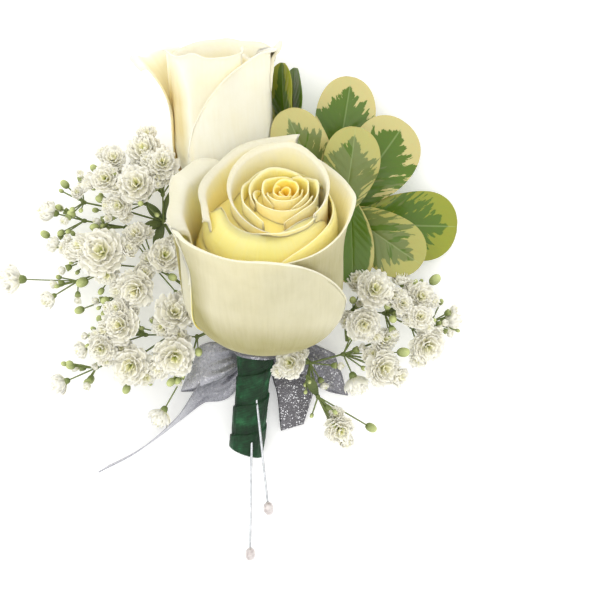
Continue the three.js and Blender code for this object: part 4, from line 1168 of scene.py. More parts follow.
FRONT_ROSE = Rose(
    name="front_rose",
    base=(0.9, 6.9, 18.0),
    lean=-1.7,
    rise=40.0,
    height=51.0,
    radius=25.0,
    # Side shade values on a petal paint shade onto its outer face along its sides.
    petals=(
        Petal(-95, 75, 25, 50.8, fall=(0.09, 0.85), point=0, power=1.87, roll=2.2, side=(1, 0),
              flare=(1.8, 0), painted_side_shade=(-0.7, 0), outside=-0.52, inside=0.1),
        Petal(-178, 27, 25.4, 43, fall=(0.2, 0.3), roll=1.2, turn=90, side=(0.8, 0.6), outside=-0.5),
        Petal(160, 40, 22, 50.6, roll=3.6, turn=110, flare=(1.4, 2), outside=-0.35, inside=0.12),
        Petal(-8, 84, 22.8, 46.6, fall=(0.03, -0.07), point=3, tip=0.1, roll=1.2, turn=70,
              flare=(0.8, 5.6), outside=-0.85, inside=0.02),
        Petal(20, 100, 20, 47.5, fall=(0.25, 0.06), point=0, power=6, roll=0.6, turn=40, centre=(1, 0),
              closing=0.2, outside=0.6, inside=0.7),
        Petal(10, 50, 18.6, 44, point=0, roll=0.6, turn=40, centre=(1.5, 1), outside=0.6, inside=0.8),
        Petal(136, 64, 18.6, 51.6, fall=(-0.05, 0.06), point=1.6, tip=-0.85, power=2.4, roll=2.2, turn=90,
              centre=(2.3, 0.4), flare=(5, 0), inside=0.2),
        Petal(-98, 86, 18.8, 48.4, fall=(0.05, 0.06), point=0, power=6, roll=0.4, turn=30,
              centre=(1, 0.3), closing=0.8, outside=0.6, inside=0.5),
        Petal(107, 152, 14, 55.6, fall=(0.1, 0.19), point=2.6, tip=-0.2, power=1.2, roll=1.6, turn=70,
              centre=(4.6, 4.6), outside=0.4, inside=0.05),
        Petal(-62, 84, 11.6, 49.2, fall=(0.25, 0.14), point=0, power=4, roll=1.2, turn=70, centre=(3.8, -0.4),
              outside=0.4, inside=0.6),
        Petal(166, 78, 10.8, 51, fall=(0.12, 0.12), point=0.4, power=5, roll=1, turn=60, centre=(4.8, 3.6),
              outside=0.4, inside=0.5),
        Petal(-10, 80, 9.4, 51, fall=(0.14, 0.14), point=1.4, tip=0.25, power=4, roll=1, turn=60,
              centre=(6, 4.2), outside=0.3, inside=0.5),
        Petal(120, 88, 8.8, 51.6, fall=(0.1, 0.1), point=0.4, power=5, roll=1, turn=60, centre=(5.2, 4.8),
              outside=0.4, inside=0.5),
        Petal(-110, 100, 8, 50.8, fall=(0.1, 0.02), point=0, power=4, roll=1, turn=60, centre=(5.8, 4.2),
              painted_side_shade=(0.3, 0), outside=0.36, inside=0.6),
        Petal(0, 80, 6.6, 51.6, fall=(0.12, 0.1), point=1.2, tip=0.1, power=4, roll=0.8, turn=60,
              centre=(6.4, 5), outside=0.32, inside=0.6),
        Petal(150, 90, 5.8, 51.2, fall=(0.1, 0.1), point=0.3, power=5, roll=0.8, turn=60, centre=(5.8, 5.4),
              outside=0.5, inside=0.65),
        Petal(-95, 100, 5, 51.2, fall=(0.08, 0.02), point=0, power=4, roll=0.7, turn=60,
              centre=(6.2, 5), outside=0.4, inside=0.75),
        Petal(35, 100, 3.9, 51.4, fall=(0.08, 0.08), point=0.5, power=5, roll=0.6, turn=60, centre=(6, 5.4),
              outside=0.5, inside=0.8),
        Petal(-140, 110, 2.9, 50.6, fall=(0.06, 0.06), point=0.2, power=5, roll=0.5, turn=60,
              centre=(5.8, 5.4), outside=0.6, inside=0.9),
        Petal(20, 115, 1.9, 50.2, point=0.2, roll=0.4, turn=60, centre=(5.8, 5.4), outside=0.75, inside=0.95),
        Petal(-150, 130, 1.1, 49.8, point=0.2, roll=0.3, turn=60, centre=(5.8, 5.4), outside=0.85, inside=1),
    ),
    heart=(
        (0, 4.6, 0), (3, 12.4, 0), (8, 18.2, 0), (16, 21.2, 0), (26, 21.5, 0), (34, 20.6, 0), (38, 19.2, 0.5),
        (41.5, 15.6, 1.6), (44, 12, 2.8), (46, 7.6, 3.6), (47, 2.4, 4.4),
    ),
    cup=(4.4, 4.6),
    sepal=(90.0, 9.4, 3.0, 1.4),
    stem=(),
    finish=RosePetal(
        "cream_rose_petal",
        (
            (0.0, "#968E55"), (0.25, "#CEC8A8"), (0.48, "#E3DFCB"), (0.64, "#F0E7B6"), (0.82, "#FFE88A"),
            (1.0, "#FFD03C"),
        ),
    ),
    heart_tone=0.6,
    slot="front_rose_petal",
)

BACK_BUD = (0.5, 0.5)
BACK_ROSE = Rose(
    name="back_rose",
    base=(-11.7, 45.6, 8.0),
    lean=-3.0,
    rise=14.0,
    height=47.0,
    radius=15.2,
    # Side shade values on a petal paint shade onto its outer face along its sides.
    petals=(
        Petal(-41, 82, 15, 47.6, fall=(0.62, 0.09), power=2, point=0.6, roll=1.5, turn=110, side=(1.2, 1),
              outside=0.06),
        Petal(-118, 58, 13.9, 48.2, fall=(0, -0.06), roll=1.3, turn=100, side=(1, 0), painted_side_shade=(0.8, 0),
              painted_shade_from=0.08, outside=-0.2),
        Petal(154, 36, 15, 46, fall=(0.1, 0.06), roll=1.8, turn=100, flare=(4, 9), point=1.5, tip=0.6,
              painted_side_shade=(0, 0.5), inside=0.2),
        Petal(80, 66, 14.8, 46.6, roll=1.4, turn=100, flare=(1, 1), point=0.8, inside=0),
        Petal(14, 30, 14.3, 46, fall=(0.25, 0.2), roll=1.2, turn=100, flare=(2, 4), point=2),
        Petal(-80, 62, 11.2, 42.4, roll=1, turn=90, centre=BACK_BUD, outside=0.15, inside=0.3),
        Petal(50, 60, 10, 42.6, roll=1, turn=90, centre=BACK_BUD, outside=0.2, inside=0.3),
        Petal(170, 60, 8.8, 42.4, roll=0.8, turn=90, centre=BACK_BUD, outside=0.25, inside=0.35),
        Petal(-10, 70, 7.2, 42.2, roll=0.7, turn=80, centre=BACK_BUD, outside=0.3, inside=0.4),
        Petal(-60, 74, 5.6, 42, roll=0.6, turn=80, centre=BACK_BUD, outside=0.35, inside=0.45),
        Petal(120, 100, 4.2, 42, roll=0.5, turn=70, point=0.5, centre=BACK_BUD),
        Petal(0, 110, 2.8, 41.6, roll=0.5, turn=60, point=0.3, centre=BACK_BUD),
        Petal(200, 130, 1.6, 41.2, roll=0.4, turn=60, point=0.2, centre=BACK_BUD),
    ),
    heart=(
        (0, 2.8, 0), (3, 6.2, 0), (8, 11.0, 0), (16, 12.8, 0), (26, 12.8, 0), (33, 11, 0.3), (38, 7.6, 0.4),
        (41, 3, 0.5),
    ),
    cup=(3.4, 4.0),
    sepal=(100.0, 6.2, 2.0, 0.9),
    stem=((-6, 14, 7.8), (-8.3, 27, 3.4), (-10.6, 39, 5.2), (-11.7, 44.4, 7.5)),
    finish=RosePetal(
        "ivory_rose_petal",
        (
            (0.0, "#CFC48A"), (0.3, "#E6DDBA"), (0.5, "#FAF3DC"), (0.66, "#EDE1B8"), (0.82, "#DCC687"),
            (1.0, "#D2B060"),
        ),
    ),
    heart_tone=0.7,
    slot="back_rose_petal",
)


# Pittosporum


@dataclass(frozen=True)
class Leaf:
    """One pittosporum leaf.

    Attributes:
        base: where its blade starts.
        tip: where it ends.
        width: its greatest width.
        roll: degrees that its face is turned round its own length.
        phase: where its wavy edge starts.
        cup: how much its sides bend up.
        bend: how far its tip bends down.
        wave: height of its wavy edge.
        patch: share of the width that is green.
        young: share of lime in the margin.
        grown: how dark the patch is.
        plain: 1 for a leaf that shows its plain green underside.
    """

    base: Triple
    tip: Triple
    width: float
    roll: float = 0.0
    phase: float = 0.0
    cup: float = 0.12
    bend: float = 2.0
    wave: float = 0.9
    patch: float = 0.6
    young: float = 0.2
    grown: float = 0.5
    plain: float = 0.0

    def points(self, u: Array, v: Array) -> Array:
        """Points of the leaf's middle surface.

        Half its width goes with the root of v(1 - v), widest past the middle. Its edge waves, it is cupped
        along the midrib, which lies in a narrow groove, its side veins quilt it, and it bends down towards
        the tip.

        Args:
            u: across it, from -1 to 1.
            v: along it, from 0 to 1.

        Returns:
            Points in the shape of u and v.
        """
        base, tip = vec(*self.base), vec(*self.tip)
        length = np.linalg.norm(tip - base)
        along = (tip - base) / length
        level = unit(np.cross(along, vec(0, 0, 1)))
        turn = math.radians(self.roll)
        flat = level * math.cos(turn) + np.cross(along, level) * math.sin(turn)
        aside, swell = np.abs(u), np.sin(math.pi * v)
        shape = np.sqrt(np.maximum(v * (1 - v), 0)) * (1.25 + 1.3 * v) * 0.88
        half = 0.5 * self.width * shape + 0.55 * (1 - v)
        lift = self.cup * half * aside**1.5 - self.bend * v**2 + self.bend * 0.6 * swell
        ripple = self.wave * np.sin(9 * v + self.phase + 1.4 * u) * u**2
        groove = -0.3 * np.exp(-((u / 0.05) ** 2))
        quilt = 0.1 * np.sin(55 * (v - 0.3 * aside)) * np.sin(math.pi * aside)
        up = lift + (ripple + groove + quilt) * swell
        return base + stack(half * u, length * v, up) @ np.stack([flat, along, unit(np.cross(flat, along))])

    def skin(self, number: int) -> Skin:
        """The leaf as a thin closed blade, with its columns drawn towards the midrib and the rim.

        Args:
            number: which leaf of the sprig it is.

        Returns:
            The closed blade.
        """
        across = np.sin(np.linspace(-0.5, 0.5, 41) * math.pi)
        across = np.sign(across) * np.abs(across) ** 1.15
        u, v = np.meshgrid(across, np.linspace(0, 1, 64) ** 0.95 * 0.994 + 0.001)
        thickness = 0.55 * (1 - 0.6 * ramp(np.abs(u), 0.8, 1))
        place, look = stack(u, v, 1.7 * number), (self.young, self.grown, self.plain)
        return blades(self.points(u, v), thickness, place, self.patch, look=look, pressed=True)


@dataclass
class Sprig:
    """Leaves on a twig, as one piece for the blades and one for the wood.

    Attributes:
        name: the node that it stands for.
        leaves: its leaves.
        twig: points along the middle of the twig.
        radius: radius of the twig.
        foot: where the leaf stalks meet.
    """

    name: str
    leaves: Sequence[Leaf]
    twig: Array
    radius: float
    foot: Triple

    def stalk(self, leaf: Leaf) -> Skin:
        """The stalk from the foot into a leaf's blade, thinner and paler towards the blade.

        Args:
            leaf: the leaf.

        Returns:
            The closed stalk.
        """
        foot, base = vec(*self.foot), vec(*leaf.base)
        inside = leaf.points(np.array([0.0]), np.array([0.12]))[0]
        path = bent_path([foot, 0.5 * (foot + base), inside], 12)
        return tube(path, np.linspace(0.85, 0.6, 12), 8, np.linspace(0.4, 0.9, 12))

    def build(self, leaf_finish: bpy.types.Material, wood: bpy.types.Material) -> None:
        """Makes the blades and the twig.

        Args:
            leaf_finish: finish of the blades.
            wood: finish of the twig and the leaf stalks.
        """
        green = Skin.join([leaf.skin(i) for i, leaf in enumerate(self.leaves)])
        twig = tube(self.twig, np.linspace(1.05, 0.9, len(self.twig)) * self.radius, 12, 0.3)
        wooden = Skin.join([twig, *(self.stalk(leaf) for leaf in self.leaves)])
        make_piece(f"{self.name}_leaves", green, leaf_finish, "pittosporum_leaf", self.name)
        make_piece(f"{self.name}_twig", wooden, wood, "pittosporum_leaf", self.name)


LEAVES = (
    Leaf((20.5, 52, 8), (26.2, 83.8, 10), 20, roll=6, phase=0.5, patch=1.2, young=0.05, grown=0.9),
    Leaf((18.5, 46, 14.5), (6, 73.4, 20.5), 18.5, roll=0, phase=2, patch=0.85, young=0.2, grown=0.2),
    Leaf((23.5, 43, 16.5), (27.4, 68.2, 22), 19, roll=8, phase=1, patch=0.85, young=0.4, grown=0.1),
    Leaf((24, 45, 10.5), (42.6, 70, 9.5), 24, roll=8, phase=3, wave=1.3, patch=1.2, young=0.05, grown=0.85),
    Leaf((26, 40, 9.5), (58.6, 38.4, 3), 24, roll=6, phase=4, wave=1.2, bend=3, patch=0.9, young=0.9,
         grown=0.8),
    Leaf((24.5, 43, 14), (46.8, 27, 17), 20, roll=8, phase=5, patch=0.95, young=0.5, grown=0.2),
    Leaf((25.5, 46.5, 16), (26.5, 21.5, 20.5), 14.5, roll=-8, phase=0, cup=0.2, wave=0.4, patch=0.93,
         young=0.3, grown=1.3, plain=0.93),
)
SIDE_LEAVES = (
    Leaf((9.5, 58, 7.5), (3.6, 87.6, 13.5), 17, roll=-62, phase=1, wave=0.7, patch=0.8, young=0.9, grown=1.0,
         plain=0.5),
    Leaf((11, 57, 6.5), (7.4, 86.4, 9.5), 16, roll=-66, phase=3, wave=0.7, patch=1.5, young=0.4, grown=0.8,
         plain=0.8),
)


# Gypsophila


class Head(Enum):
    """What stands at the end of a stalk in a gypsophila spray."""

    OPEN = "an open double flower that faces mostly up"
    SIDE = "a flower that faces along its stalk"
    BUD = "a closed bud"
    LEAF = "a narrow leaf"


Heads = Sequence[tuple[Head, float, float, float, float]]
Grids = list[tuple[Array, Array]]


@dataclass(frozen=True)
class Fork:
    """A place where a spray forks.

    Attributes:
        at: where it is.
        heads: kind, place and radius of what stands on its stalks.
        forks: the forks that grow on from it.
    """

    at: Triple
    heads: Heads = ()
    forks: Sequence[Fork] = ()


OPEN, SIDE, BUD, LEAF = Head.OPEN, Head.SIDE, Head.BUD, Head.LEAF
UP = vec(0, 0, 1)


@dataclass
class Spray:
    """One cut spray of gypsophila: thin forked stems with double white flowers, green buds and small leaves.

    Attributes:
        name: which spray.
        seed: start of its own draw.
        stem: the places that its stem passes before the first fork.
        fork: its first fork.
    """

    name: str
    seed: int
    stem: Sequence[Triple]
    fork: Fork

    # Radius of a stalk, stalks that each fork adds, and how far petals reach past a flower's stated radius.
    STALK = 0.25
    TWIGS = 5
    FULLNESS = 1.2
    # A full turn in radians, rounded in two ways that the draws have kept.
    TURN = 6.2832
    ABOUT_A_TURN = 6.28
    # Rings of petals: how many there are, then their root, reach, root height, tip height and half width as
    # shares of the flower's radius.
    RINGS = (
        (10, 0.10, 1.02, -0.20, 0.10, 0.33),
        (10, 0.09, 0.90, -0.10, 0.36, 0.31),
        (9, 0.07, 0.70, 0.00, 0.56, 0.28),
        (7, 0.05, 0.46, 0.08, 0.68, 0.24),
        (5, 0.02, 0.20, 0.12, 0.72, 0.17),
    )

    def petals(
        self, at: Array, facing: Array, radius: float, closed: float, draw: Draw, skipped: int = 0
    ) -> tuple[Array, Array]:
        """Grids of all petals of one flower.

        Each petal runs from its root out to its reach. Its half width goes with the sine of an angle from a
        tenth to nearly three quarters of a half turn, its tip has two round lobes, and its sides bend up and
        ripple.

        Args:
            at: the flower's middle.
            facing: the way it faces.
            radius: its radius.
            closed: 0 for an open flower, to 1 for one whose petals stand up.
            draw: the spray's own draw.
            skipped: how many of the outer rings a small flower does without.

        Returns:
            Grids of points, and their tones: greenish near the flower's middle, white further out.
        """
        s, t = np.meshgrid(np.linspace(0, 1, 5), np.linspace(-1, 1, 5), indexing="ij")
        numbers = []
        for count, root, reach, low, high, half in self.RINGS[skipped:]:
            first = draw() * self.ABOUT_A_TURN
            numbers += [
                (first + self.TURN * (k + 0.7 * draw()) / count, root, reach * (0.8 + 0.3 * draw()), low,
                 high + 0.34 * (draw() - 0.4), half * (0.8 + 0.4 * draw()), self.ABOUT_A_TURN * draw(),
                 draw() - 0.5)
                for k in range(count)
            ]
        turn, root, reach, low, high, half, phase, twist = (np.array(c)[:, None, None] for c in zip(*numbers))
        reach = reach * (1 - 0.35 * closed)
        high = high + closed * 0.5 * (1 - high)
        notch = 1 - s**3 * (0.16 * (1 - np.abs(t)) ** 2 * (1 - 0.5 * closed) + 0.13 * np.abs(t) ** 3)
        out = root + (reach - root) * np.sin(s * notch * 1.35) / np.sin(1.35)
        wide = half * np.sin(math.pi * (0.1 + 0.62 * s)) * t
        rise = low + (high - low) * (s * notch) ** 1.5
        rise = rise + 0.12 * s * t**2 + 0.1 * s * np.sin(5 * t + phase) + 0.3 * twist * t * s
        right, back, along = axes_along(facing)
        radial, tangent = circle(turn, right, back), circle(turn, back, -right)
        grids = at + radius * (out[..., None] * radial + wide[..., None] * tangent + rise[..., None] * along)
        tones = 0.15 + (0.7 - 0.2 * closed) * ramp(s * reach, 0.02, 0.34) + 0.12 * np.cos(phase)
        return grids, tones

    def stalk(self, start: Array, head: Array, facing: Array, below: float) -> Skin:
        """A thin stalk that sags a little and ends under its head.

        Args:
            start: the fork that it leaves.
            head: the middle of what stands on it.
            facing: the way that faces.
            below: how far under the head's middle the stalk ends.

        Returns:
            The closed stalk.
        """
        foot = head - facing * below
        knee = mix(start, foot, 0.55) - 0.06 * np.linalg.norm(foot - start) * UP
        path = smooth_path([start, knee, foot, foot + 0.15 * facing * below], np.linspace(0, 1, 12))
        return tube(path, self.STALK * np.linspace(1.0, 0.8, 12), 6, 0.5)

    def calyx(self, at: Array, facing: Array, radius: float) -> Skin:
        """The small green cup under a flower."""
        wide = (0.1, 0.2, 0.27, 0.29, 0.33, 0.2)
        high = (-0.64, -0.58, -0.42, -0.25, -0.12, -0.08)
        return lathe(stack(wide, high) * radius, 10, at, facing, np.linspace(0.35, 0.75, 6))

    def bud(self, at: Array, facing: Array, radius: float) -> Skin:
        """A drop-shaped bud, green below and paler at its tip."""
        turn = np.linspace(0.12, 0.97, 9) * math.pi
        profile = radius * stack(np.sin(turn) ** 0.9, 0.1 - 1.35 * np.cos(turn))
        return lathe(profile, 10, at, facing, np.linspace(0.45, 1.1, 9))

    def leaf(self, start: Array, end: Array) -> Skin:
        """A narrow leaf that arches up between its two ends, with a half sine for its half width.

        Args:
            start: its foot.
            end: its tip.

        Returns:
            The closed blade.
        """
        u, v = np.meshgrid(np.linspace(-1, 1, 5), np.linspace(0, 1, 14))
        flat = unit(np.cross(end - start, UP))
        half = 0.15 + 1.35 * np.sin(math.pi * np.minimum(v, 0.97))
        arch = 0.12 * np.linalg.norm(end - start) * np.sin(math.pi * v) - 0.35 * (1 - u**2)
        grid = start + stack(v, u * half, arch) @ np.stack([end - start, flat, UP])
        return blades(grid, 0.3, stack(u, v, 0.0), 0.15 + 0.35 * v)

    def twigs(self, at: Array, onward: Array, white: Grids, green: list[Skin], draw: Draw) -> None:
        """Adds a few hair-thin side stalks at a fork, each with a small bud or a flower that is just opening.

        Args:
            at: the fork.
            onward: the way that the stem comes in.
            white: grids and tones of the petals, added to.
            green: skins of the greenery, added to.
            draw: the spray's own draw.
        """
        for number in range(self.TWIGS):
            away = vec(2 * draw() - 1, 2 * draw() - 1, 0.9 * draw() - 0.15)
            head = at + (5 + 5 * draw()) * unit(0.9 * onward + away)
            head[2] = max(head[2], 1.5)
            facing = unit(head - at)
            size = 0.55 + 0.4 * draw()
            if number % 2:
                opening = 1.6 + 2.2 * size
                white.append(self.petals(head, facing, 0.7 * opening, 0.7, draw, 2))
                green += [self.calyx(head, facing, opening), self.stalk(at, head, facing, 0.6 * opening)]
            else:
                green += [self.bud(head, facing, size), self.stalk(at, head, facing, 1.2 * size)]

    def stand(
        self, at: Array, kind: Head, head: Array, radius: float, white: Grids, green: list[Skin], draw: Draw
    ) -> None:
        """Adds one head with its stalk. An open flower gets two smaller ones that lean against it.

        Args:
            at: the fork that it stands on.
            kind: what it is.
            head: where its middle or, for a leaf, its tip is.
            radius: its radius.
            white: grids and tones of the petals, added to.
            green: skins of the greenery, added to.
            draw: the spray's own draw.
        """
        if kind is LEAF:
            green.append(self.leaf(at, head))
            return
        facing = unit(head - at)
        if kind is BUD:
            green += [self.bud(head, facing, radius), self.stalk(at, head, facing, 1.2 * radius)]
            return
        if kind is OPEN:
            facing = unit(0.55 * facing + UP)
        white.append(self.petals(head, facing, self.FULLNESS * radius, 0.0 if kind is OPEN else 0.55, draw))
        green += [self.calyx(head, facing, radius), self.stalk(at, head, facing, 0.6 * radius)]
        if kind is OPEN:
            first = self.TURN * draw()
            for turn in (first, first + 1.8 + 1.4 * draw()):
                aside = vec(math.cos(turn), math.sin(turn), 0)
                beside, leaning = head + radius * (0.9 * aside - 0.35 * UP), unit(facing + 0.7 * aside)
                white.append(self.petals(beside, leaning, 0.78 * radius, 0.1, draw, 1))
                green.append(self.stalk(at, beside, leaning, 0.4 * radius))

    def grow(self, fork: Fork, start: Array, white: Grids, green: list[Skin], draw: Draw) -> None:
        """Adds a fork, what stands on it and all that grows on from it.

        Args:
            fork: the fork.
            start: where the stem to it starts.
            white: grids and tones of the petals, added to.
            green: skins of stalks, cups, buds and leaves, added to.
            draw: the spray's own draw.
        """
        at = vec(*fork.at)
        gap = np.linalg.norm(at - start)
        apart = gap > 0.5
        if apart:
            middle = 0.5 * (start + at) + 0.06 * gap * UP
            green.append(tube(bent_path([start, middle, at], 14), self.STALK * 1.15, 6, 0.45))
        knot = np.array([[0.3, -0.9], [0.62, -0.45], [0.72, 0.0], [0.6, 0.45], [0.3, 0.9]])
        green.append(lathe(knot, 8, at, at - start if apart else vec(0, 1, 0), 0.4))
        for kind, x, y, z, radius in fork.heads:
            self.stand(at, kind, vec(x, y, z), radius, white, green, draw)
        if apart:
            self.twigs(at, unit(at - start), white, green, draw)
        for following in fork.forks:
            self.grow(following, at, white, green, draw)

    def build(self, petal: bpy.types.Material, green_finish: bpy.types.Material) -> None:
        """Makes the flowers and the greenery.

        Args:
            petal: finish of the flowers.
            green_finish: finish of everything else.
        """
        path = BUNDLE.stem(self.name, [*self.stem, self.fork.at], 40)
        white, green = [], [tube(path, 0.45, 8, 0.4)]
        self.grow(self.fork, vec(*self.fork.at), white, green, drawer(self.seed))
        grids, tones = (np.concatenate(part) for part in zip(*white))
        flowers = blades(grids, 0.12, np.arange(len(grids), dtype=float)[:, None, None, None], tones)
        node = f"gypsophila_{self.name}"
        make_piece(f"{node}_flowers", flowers, petal, "gypsophila", node)
        make_piece(f"{node}_greenery", Skin.join(green), green_finish, "gypsophila", node)


SPRAYS = (
    Spray(
        "upper_left", 11, ((-10, 9, 9), (-19, 22, 7.5), (-27, 34, 9)),
        Fork((-30.6, 40, 12), (
            (LEAF, -28, 50, 11, 0), (LEAF, -36, 46, 9, 0), (LEAF, -33.5, 32, 12, 0), (LEAF, -37.5, 38, 14, 0),
        ), (
            Fork((-30.8, 48.3, 14), ((OPEN, -36, 60.9, 16, 5.1), (OPEN, -30.8, 57.4, 21, 4.2))),
            Fork((-36, 45.5, 15), ((OPEN, -38.4, 51, 22, 5.4), (OPEN, -43.5, 45, 19, 3.6)), (
                Fork((-44.5, 50.5, 15), (
                    (OPEN, -47.7, 52.8, 20, 4.2), (SIDE, -53.2, 51, 17, 2.6), (BUD, -51.3, 56, 15, 1.1),
                    (OPEN, -45.6, 58.6, 17, 3.6), (BUD, -48.9, 60.6, 13, 1.1),
                )),
            )),
            Fork((-41.4, 43.2, 11), ((BUD, -49.5, 46.8, 16, 1.2),), (
                Fork((-54.6, 45.9, 11), ((SIDE, -56.1, 48.5, 17, 2.2), (BUD, -60.3, 51.3, 9, 1.2))),
            )),
            Fork((-42, 38.4, 9), ((BUD, -51.2, 38.4, 15, 1.2),), (
                Fork((-54.5, 40.4, 9), ((SIDE, -64.4, 42.9, 11, 3.7), (BUD, -58.2, 42.3, 14, 1.2))),
            )),
        )),
    ),
    Spray(
        "middle_left", 23, ((-11, 9, 12), (-21, 18, 12), (-29, 24, 13.5)),
        Fork((-33, 26, 14), (
            (OPEN, -30.4, 29.6, 17.5, 4.6), (OPEN, -38.6, 19.8, 19, 5.1), (OPEN, -38.6, 36.2, 18, 3.4),
            (BUD, -27.9, 23.4, 18, 1.2), (SIDE, -26.2, 18.2, 17.5, 2.6),
        ), (
            Fork((-44, 27, 13), (
                (OPEN, -48.9, 30.9, 19.5, 6.4), (SIDE, -41.2, 31.2, 21, 2.8), (BUD, -54.9, 21.9, 13, 1.5),
            ), (
                Fork((-53, 29, 11), (
                    (OPEN, -57.6, 31.4, 15, 3), (SIDE, -63, 33, 12, 2.7), (BUD, -66.2, 36.2, 9, 1.2),
                )),
                Fork((-56.4, 22.2, 9.5), ((SIDE, -75, 22.8, 8, 4.8), (SIDE, -64.5, 17.2, 12, 3))),
            )),
            Fork((-44, 18, 12), ((BUD, -48, 16.4, 16, 1.2), (BUD, -55.8, 13.5, 11, 1.2))),
        )),
    ),
    Spray(
        "lower_left", 37, ((-9.5, 6.4, 16.5), (-15, 7.4, 15.5)),
        Fork((-20.5, 5.4, 14.5), ((BUD, -20, 1, 20, 1.2),), (
            Fork((-22.4, -2.4, 14.5), ((SIDE, -31, -17.6, 15.2, 3.9), (BUD, -28.2, -8.1, 18.5, 1.2))),
            Fork((-28.5, 6, 13.5), ((OPEN, -27.2, 12.4, 20, 5.2), (OPEN, -27.2, -0.2, 20.5, 5.6)), (
                Fork((-36, 6, 13), (
                    (OPEN, -43.3, 8.7, 19, 4.8), (BUD, -38.6, 10.2, 18, 1.1), (OPEN, -44.4, 13.8, 20, 2.8),
                ), (
                    Fork((-45.5, 5.6, 12), (
                        (OPEN, -49, 2.2, 18, 3.8), (SIDE, -54.4, 1.8, 13, 2.8), (BUD, -49.5, 10.4, 11, 1.2),
                    )),
                )),
                Fork((-36.5, 0.6, 11.5), ((OPEN, -40.2, -3, 17.5, 5.2), (BUD, -41.7, -10.2, 12, 1.2)), (
                    Fork((-51, -4, 8), (
                        (SIDE, -61, -8.4, 7, 3.6), (BUD, -58.5, -3.4, 10, 1.1), (BUD, -52.6, -7.4, 8, 1.1),
                    )),
                )),
            )),
        )),
    ),
    Spray(
        "right", 53, (),
        Fork((8, 7, 11.5), (), (
            Fork((26.5, 13.5, 12), (
                (OPEN, 32.7, 19.6, 20.5, 5.4), (OPEN, 29.6, 9.4, 20, 4.6), (BUD, 26.4, 16.4, 17.5, 1.1),
                (LEAF, 24.5, 4, 14, 0),
            ), (
                Fork((36, 12.5, 13), (
                    (BUD, 38.3, 10.8, 19, 1.2), (BUD, 36.8, 14.6, 18.4, 1.2), (OPEN, 41.2, 15.4, 19.5, 2.9),
                    (LEAF, 42, 19, 12, 0),
                ), (
                    Fork((42, 14.5, 11), (
                        (OPEN, 46.6, 17.4, 14.5, 3.9), (SIDE, 41, 22, 14.5, 2.8), (BUD, 51, 22.5, 13, 1.5),
                    )),
                    Fork((44, 8.4, 11.5), (
                        (OPEN, 46.6, 11.4, 19.6, 3.4), (OPEN, 48.6, 3, 15, 4.7), (BUD, 48.8, 8.4, 14, 1.1),
                    ), (Fork((50, 9.8, 10), ((SIDE, 55, 10.2, 9, 3.7),)),)),
                )),
            )),
            Fork((13.5, -2.5, 12.5), ((OPEN, 7.8, -2.4, 20.5, 4.1),), (
                Fork((23.5, 0.2, 12.5), (
                    (OPEN, 35.4, -4, 17, 5), (SIDE, 27, -7.6, 11.5, 4.2), (OPEN, 35.4, 4.4, 15.5, 3.3),
                    (BUD, 41.4, 0.8, 18, 1.5),
                )),
                Fork((15.9, -12.6, 12.5), (
                    (OPEN, 22.2, -22.2, 12.5, 4.2), (BUD, 31.8, -21.9, 9, 1.4), (LEAF, 12.5, -6, 16.5, 0),
                )),
            )),
        )),
    ),
)


# Tape, ribbon and pins


@dataclass
class TapeWrap:
    """The floral tape wound round the bundle.

    Attributes:
        radius: least radius.
        flare: how much wider it is at the neck.
        lap: thickness that each turn adds where it laps over the last one.
        pitch: distance between the laps.
        squeeze: how far it is out of round.
        slant: slope of the cut end.
    """

    radius: float = 4.75
    flare: float = 1.35
    lap: float = 0.45
    pitch: float = 9.5
    squeeze: float = 0.25
    slant: float = 0.22

    def under_ribbon(self, turn: Array, share: float) -> Array:
        """Radius that a ribbon tied round the tape follows: it bridges the laps."""
        return self.radius + self.flare + 0.8 * self.lap + self.squeeze * np.cos(2 * turn + 3 * share)

    def build(self) -> None:
        """Makes the wound tape: its radius steps down past each lap's edge, which runs round as a helix."""
        length = BUNDLE.length
        share, turn = np.meshgrid(np.linspace(0, 1, 220), turns(96), indexing="ij")
        step = (share * length / self.pitch + turn / (2 * math.pi)) % 1
        edge = ramp(step, 0, 0.9) * (1 - ramp(step, 0.965, 1.0))
        radius = self.radius + self.flare * ramp(share, 0.66, 0.95) + self.lap * edge
        radius = radius + self.squeeze * np.cos(2 * turn + 3 * share)
        radius = radius + 0.06 * np.sin(23 * turn + 9 * share) + 0.05 * np.sin(11 * turn - 31 * share)
        radius = radius * (1 - 0.1 * (1 - ramp(share, 0, 0.012)) ** 2)
        lean = self.slant * np.cos(turn) * (1 - share) ** 4
        loops = BUNDLE.at(*around(radius, turn), share * length - lean * radius)
        loops[..., 2] = np.maximum(loops[..., 2], 0)
        make_piece("floral_tape", rings(loops), FloralTape().build(), "floral_tape", "floral_tape_wrap")


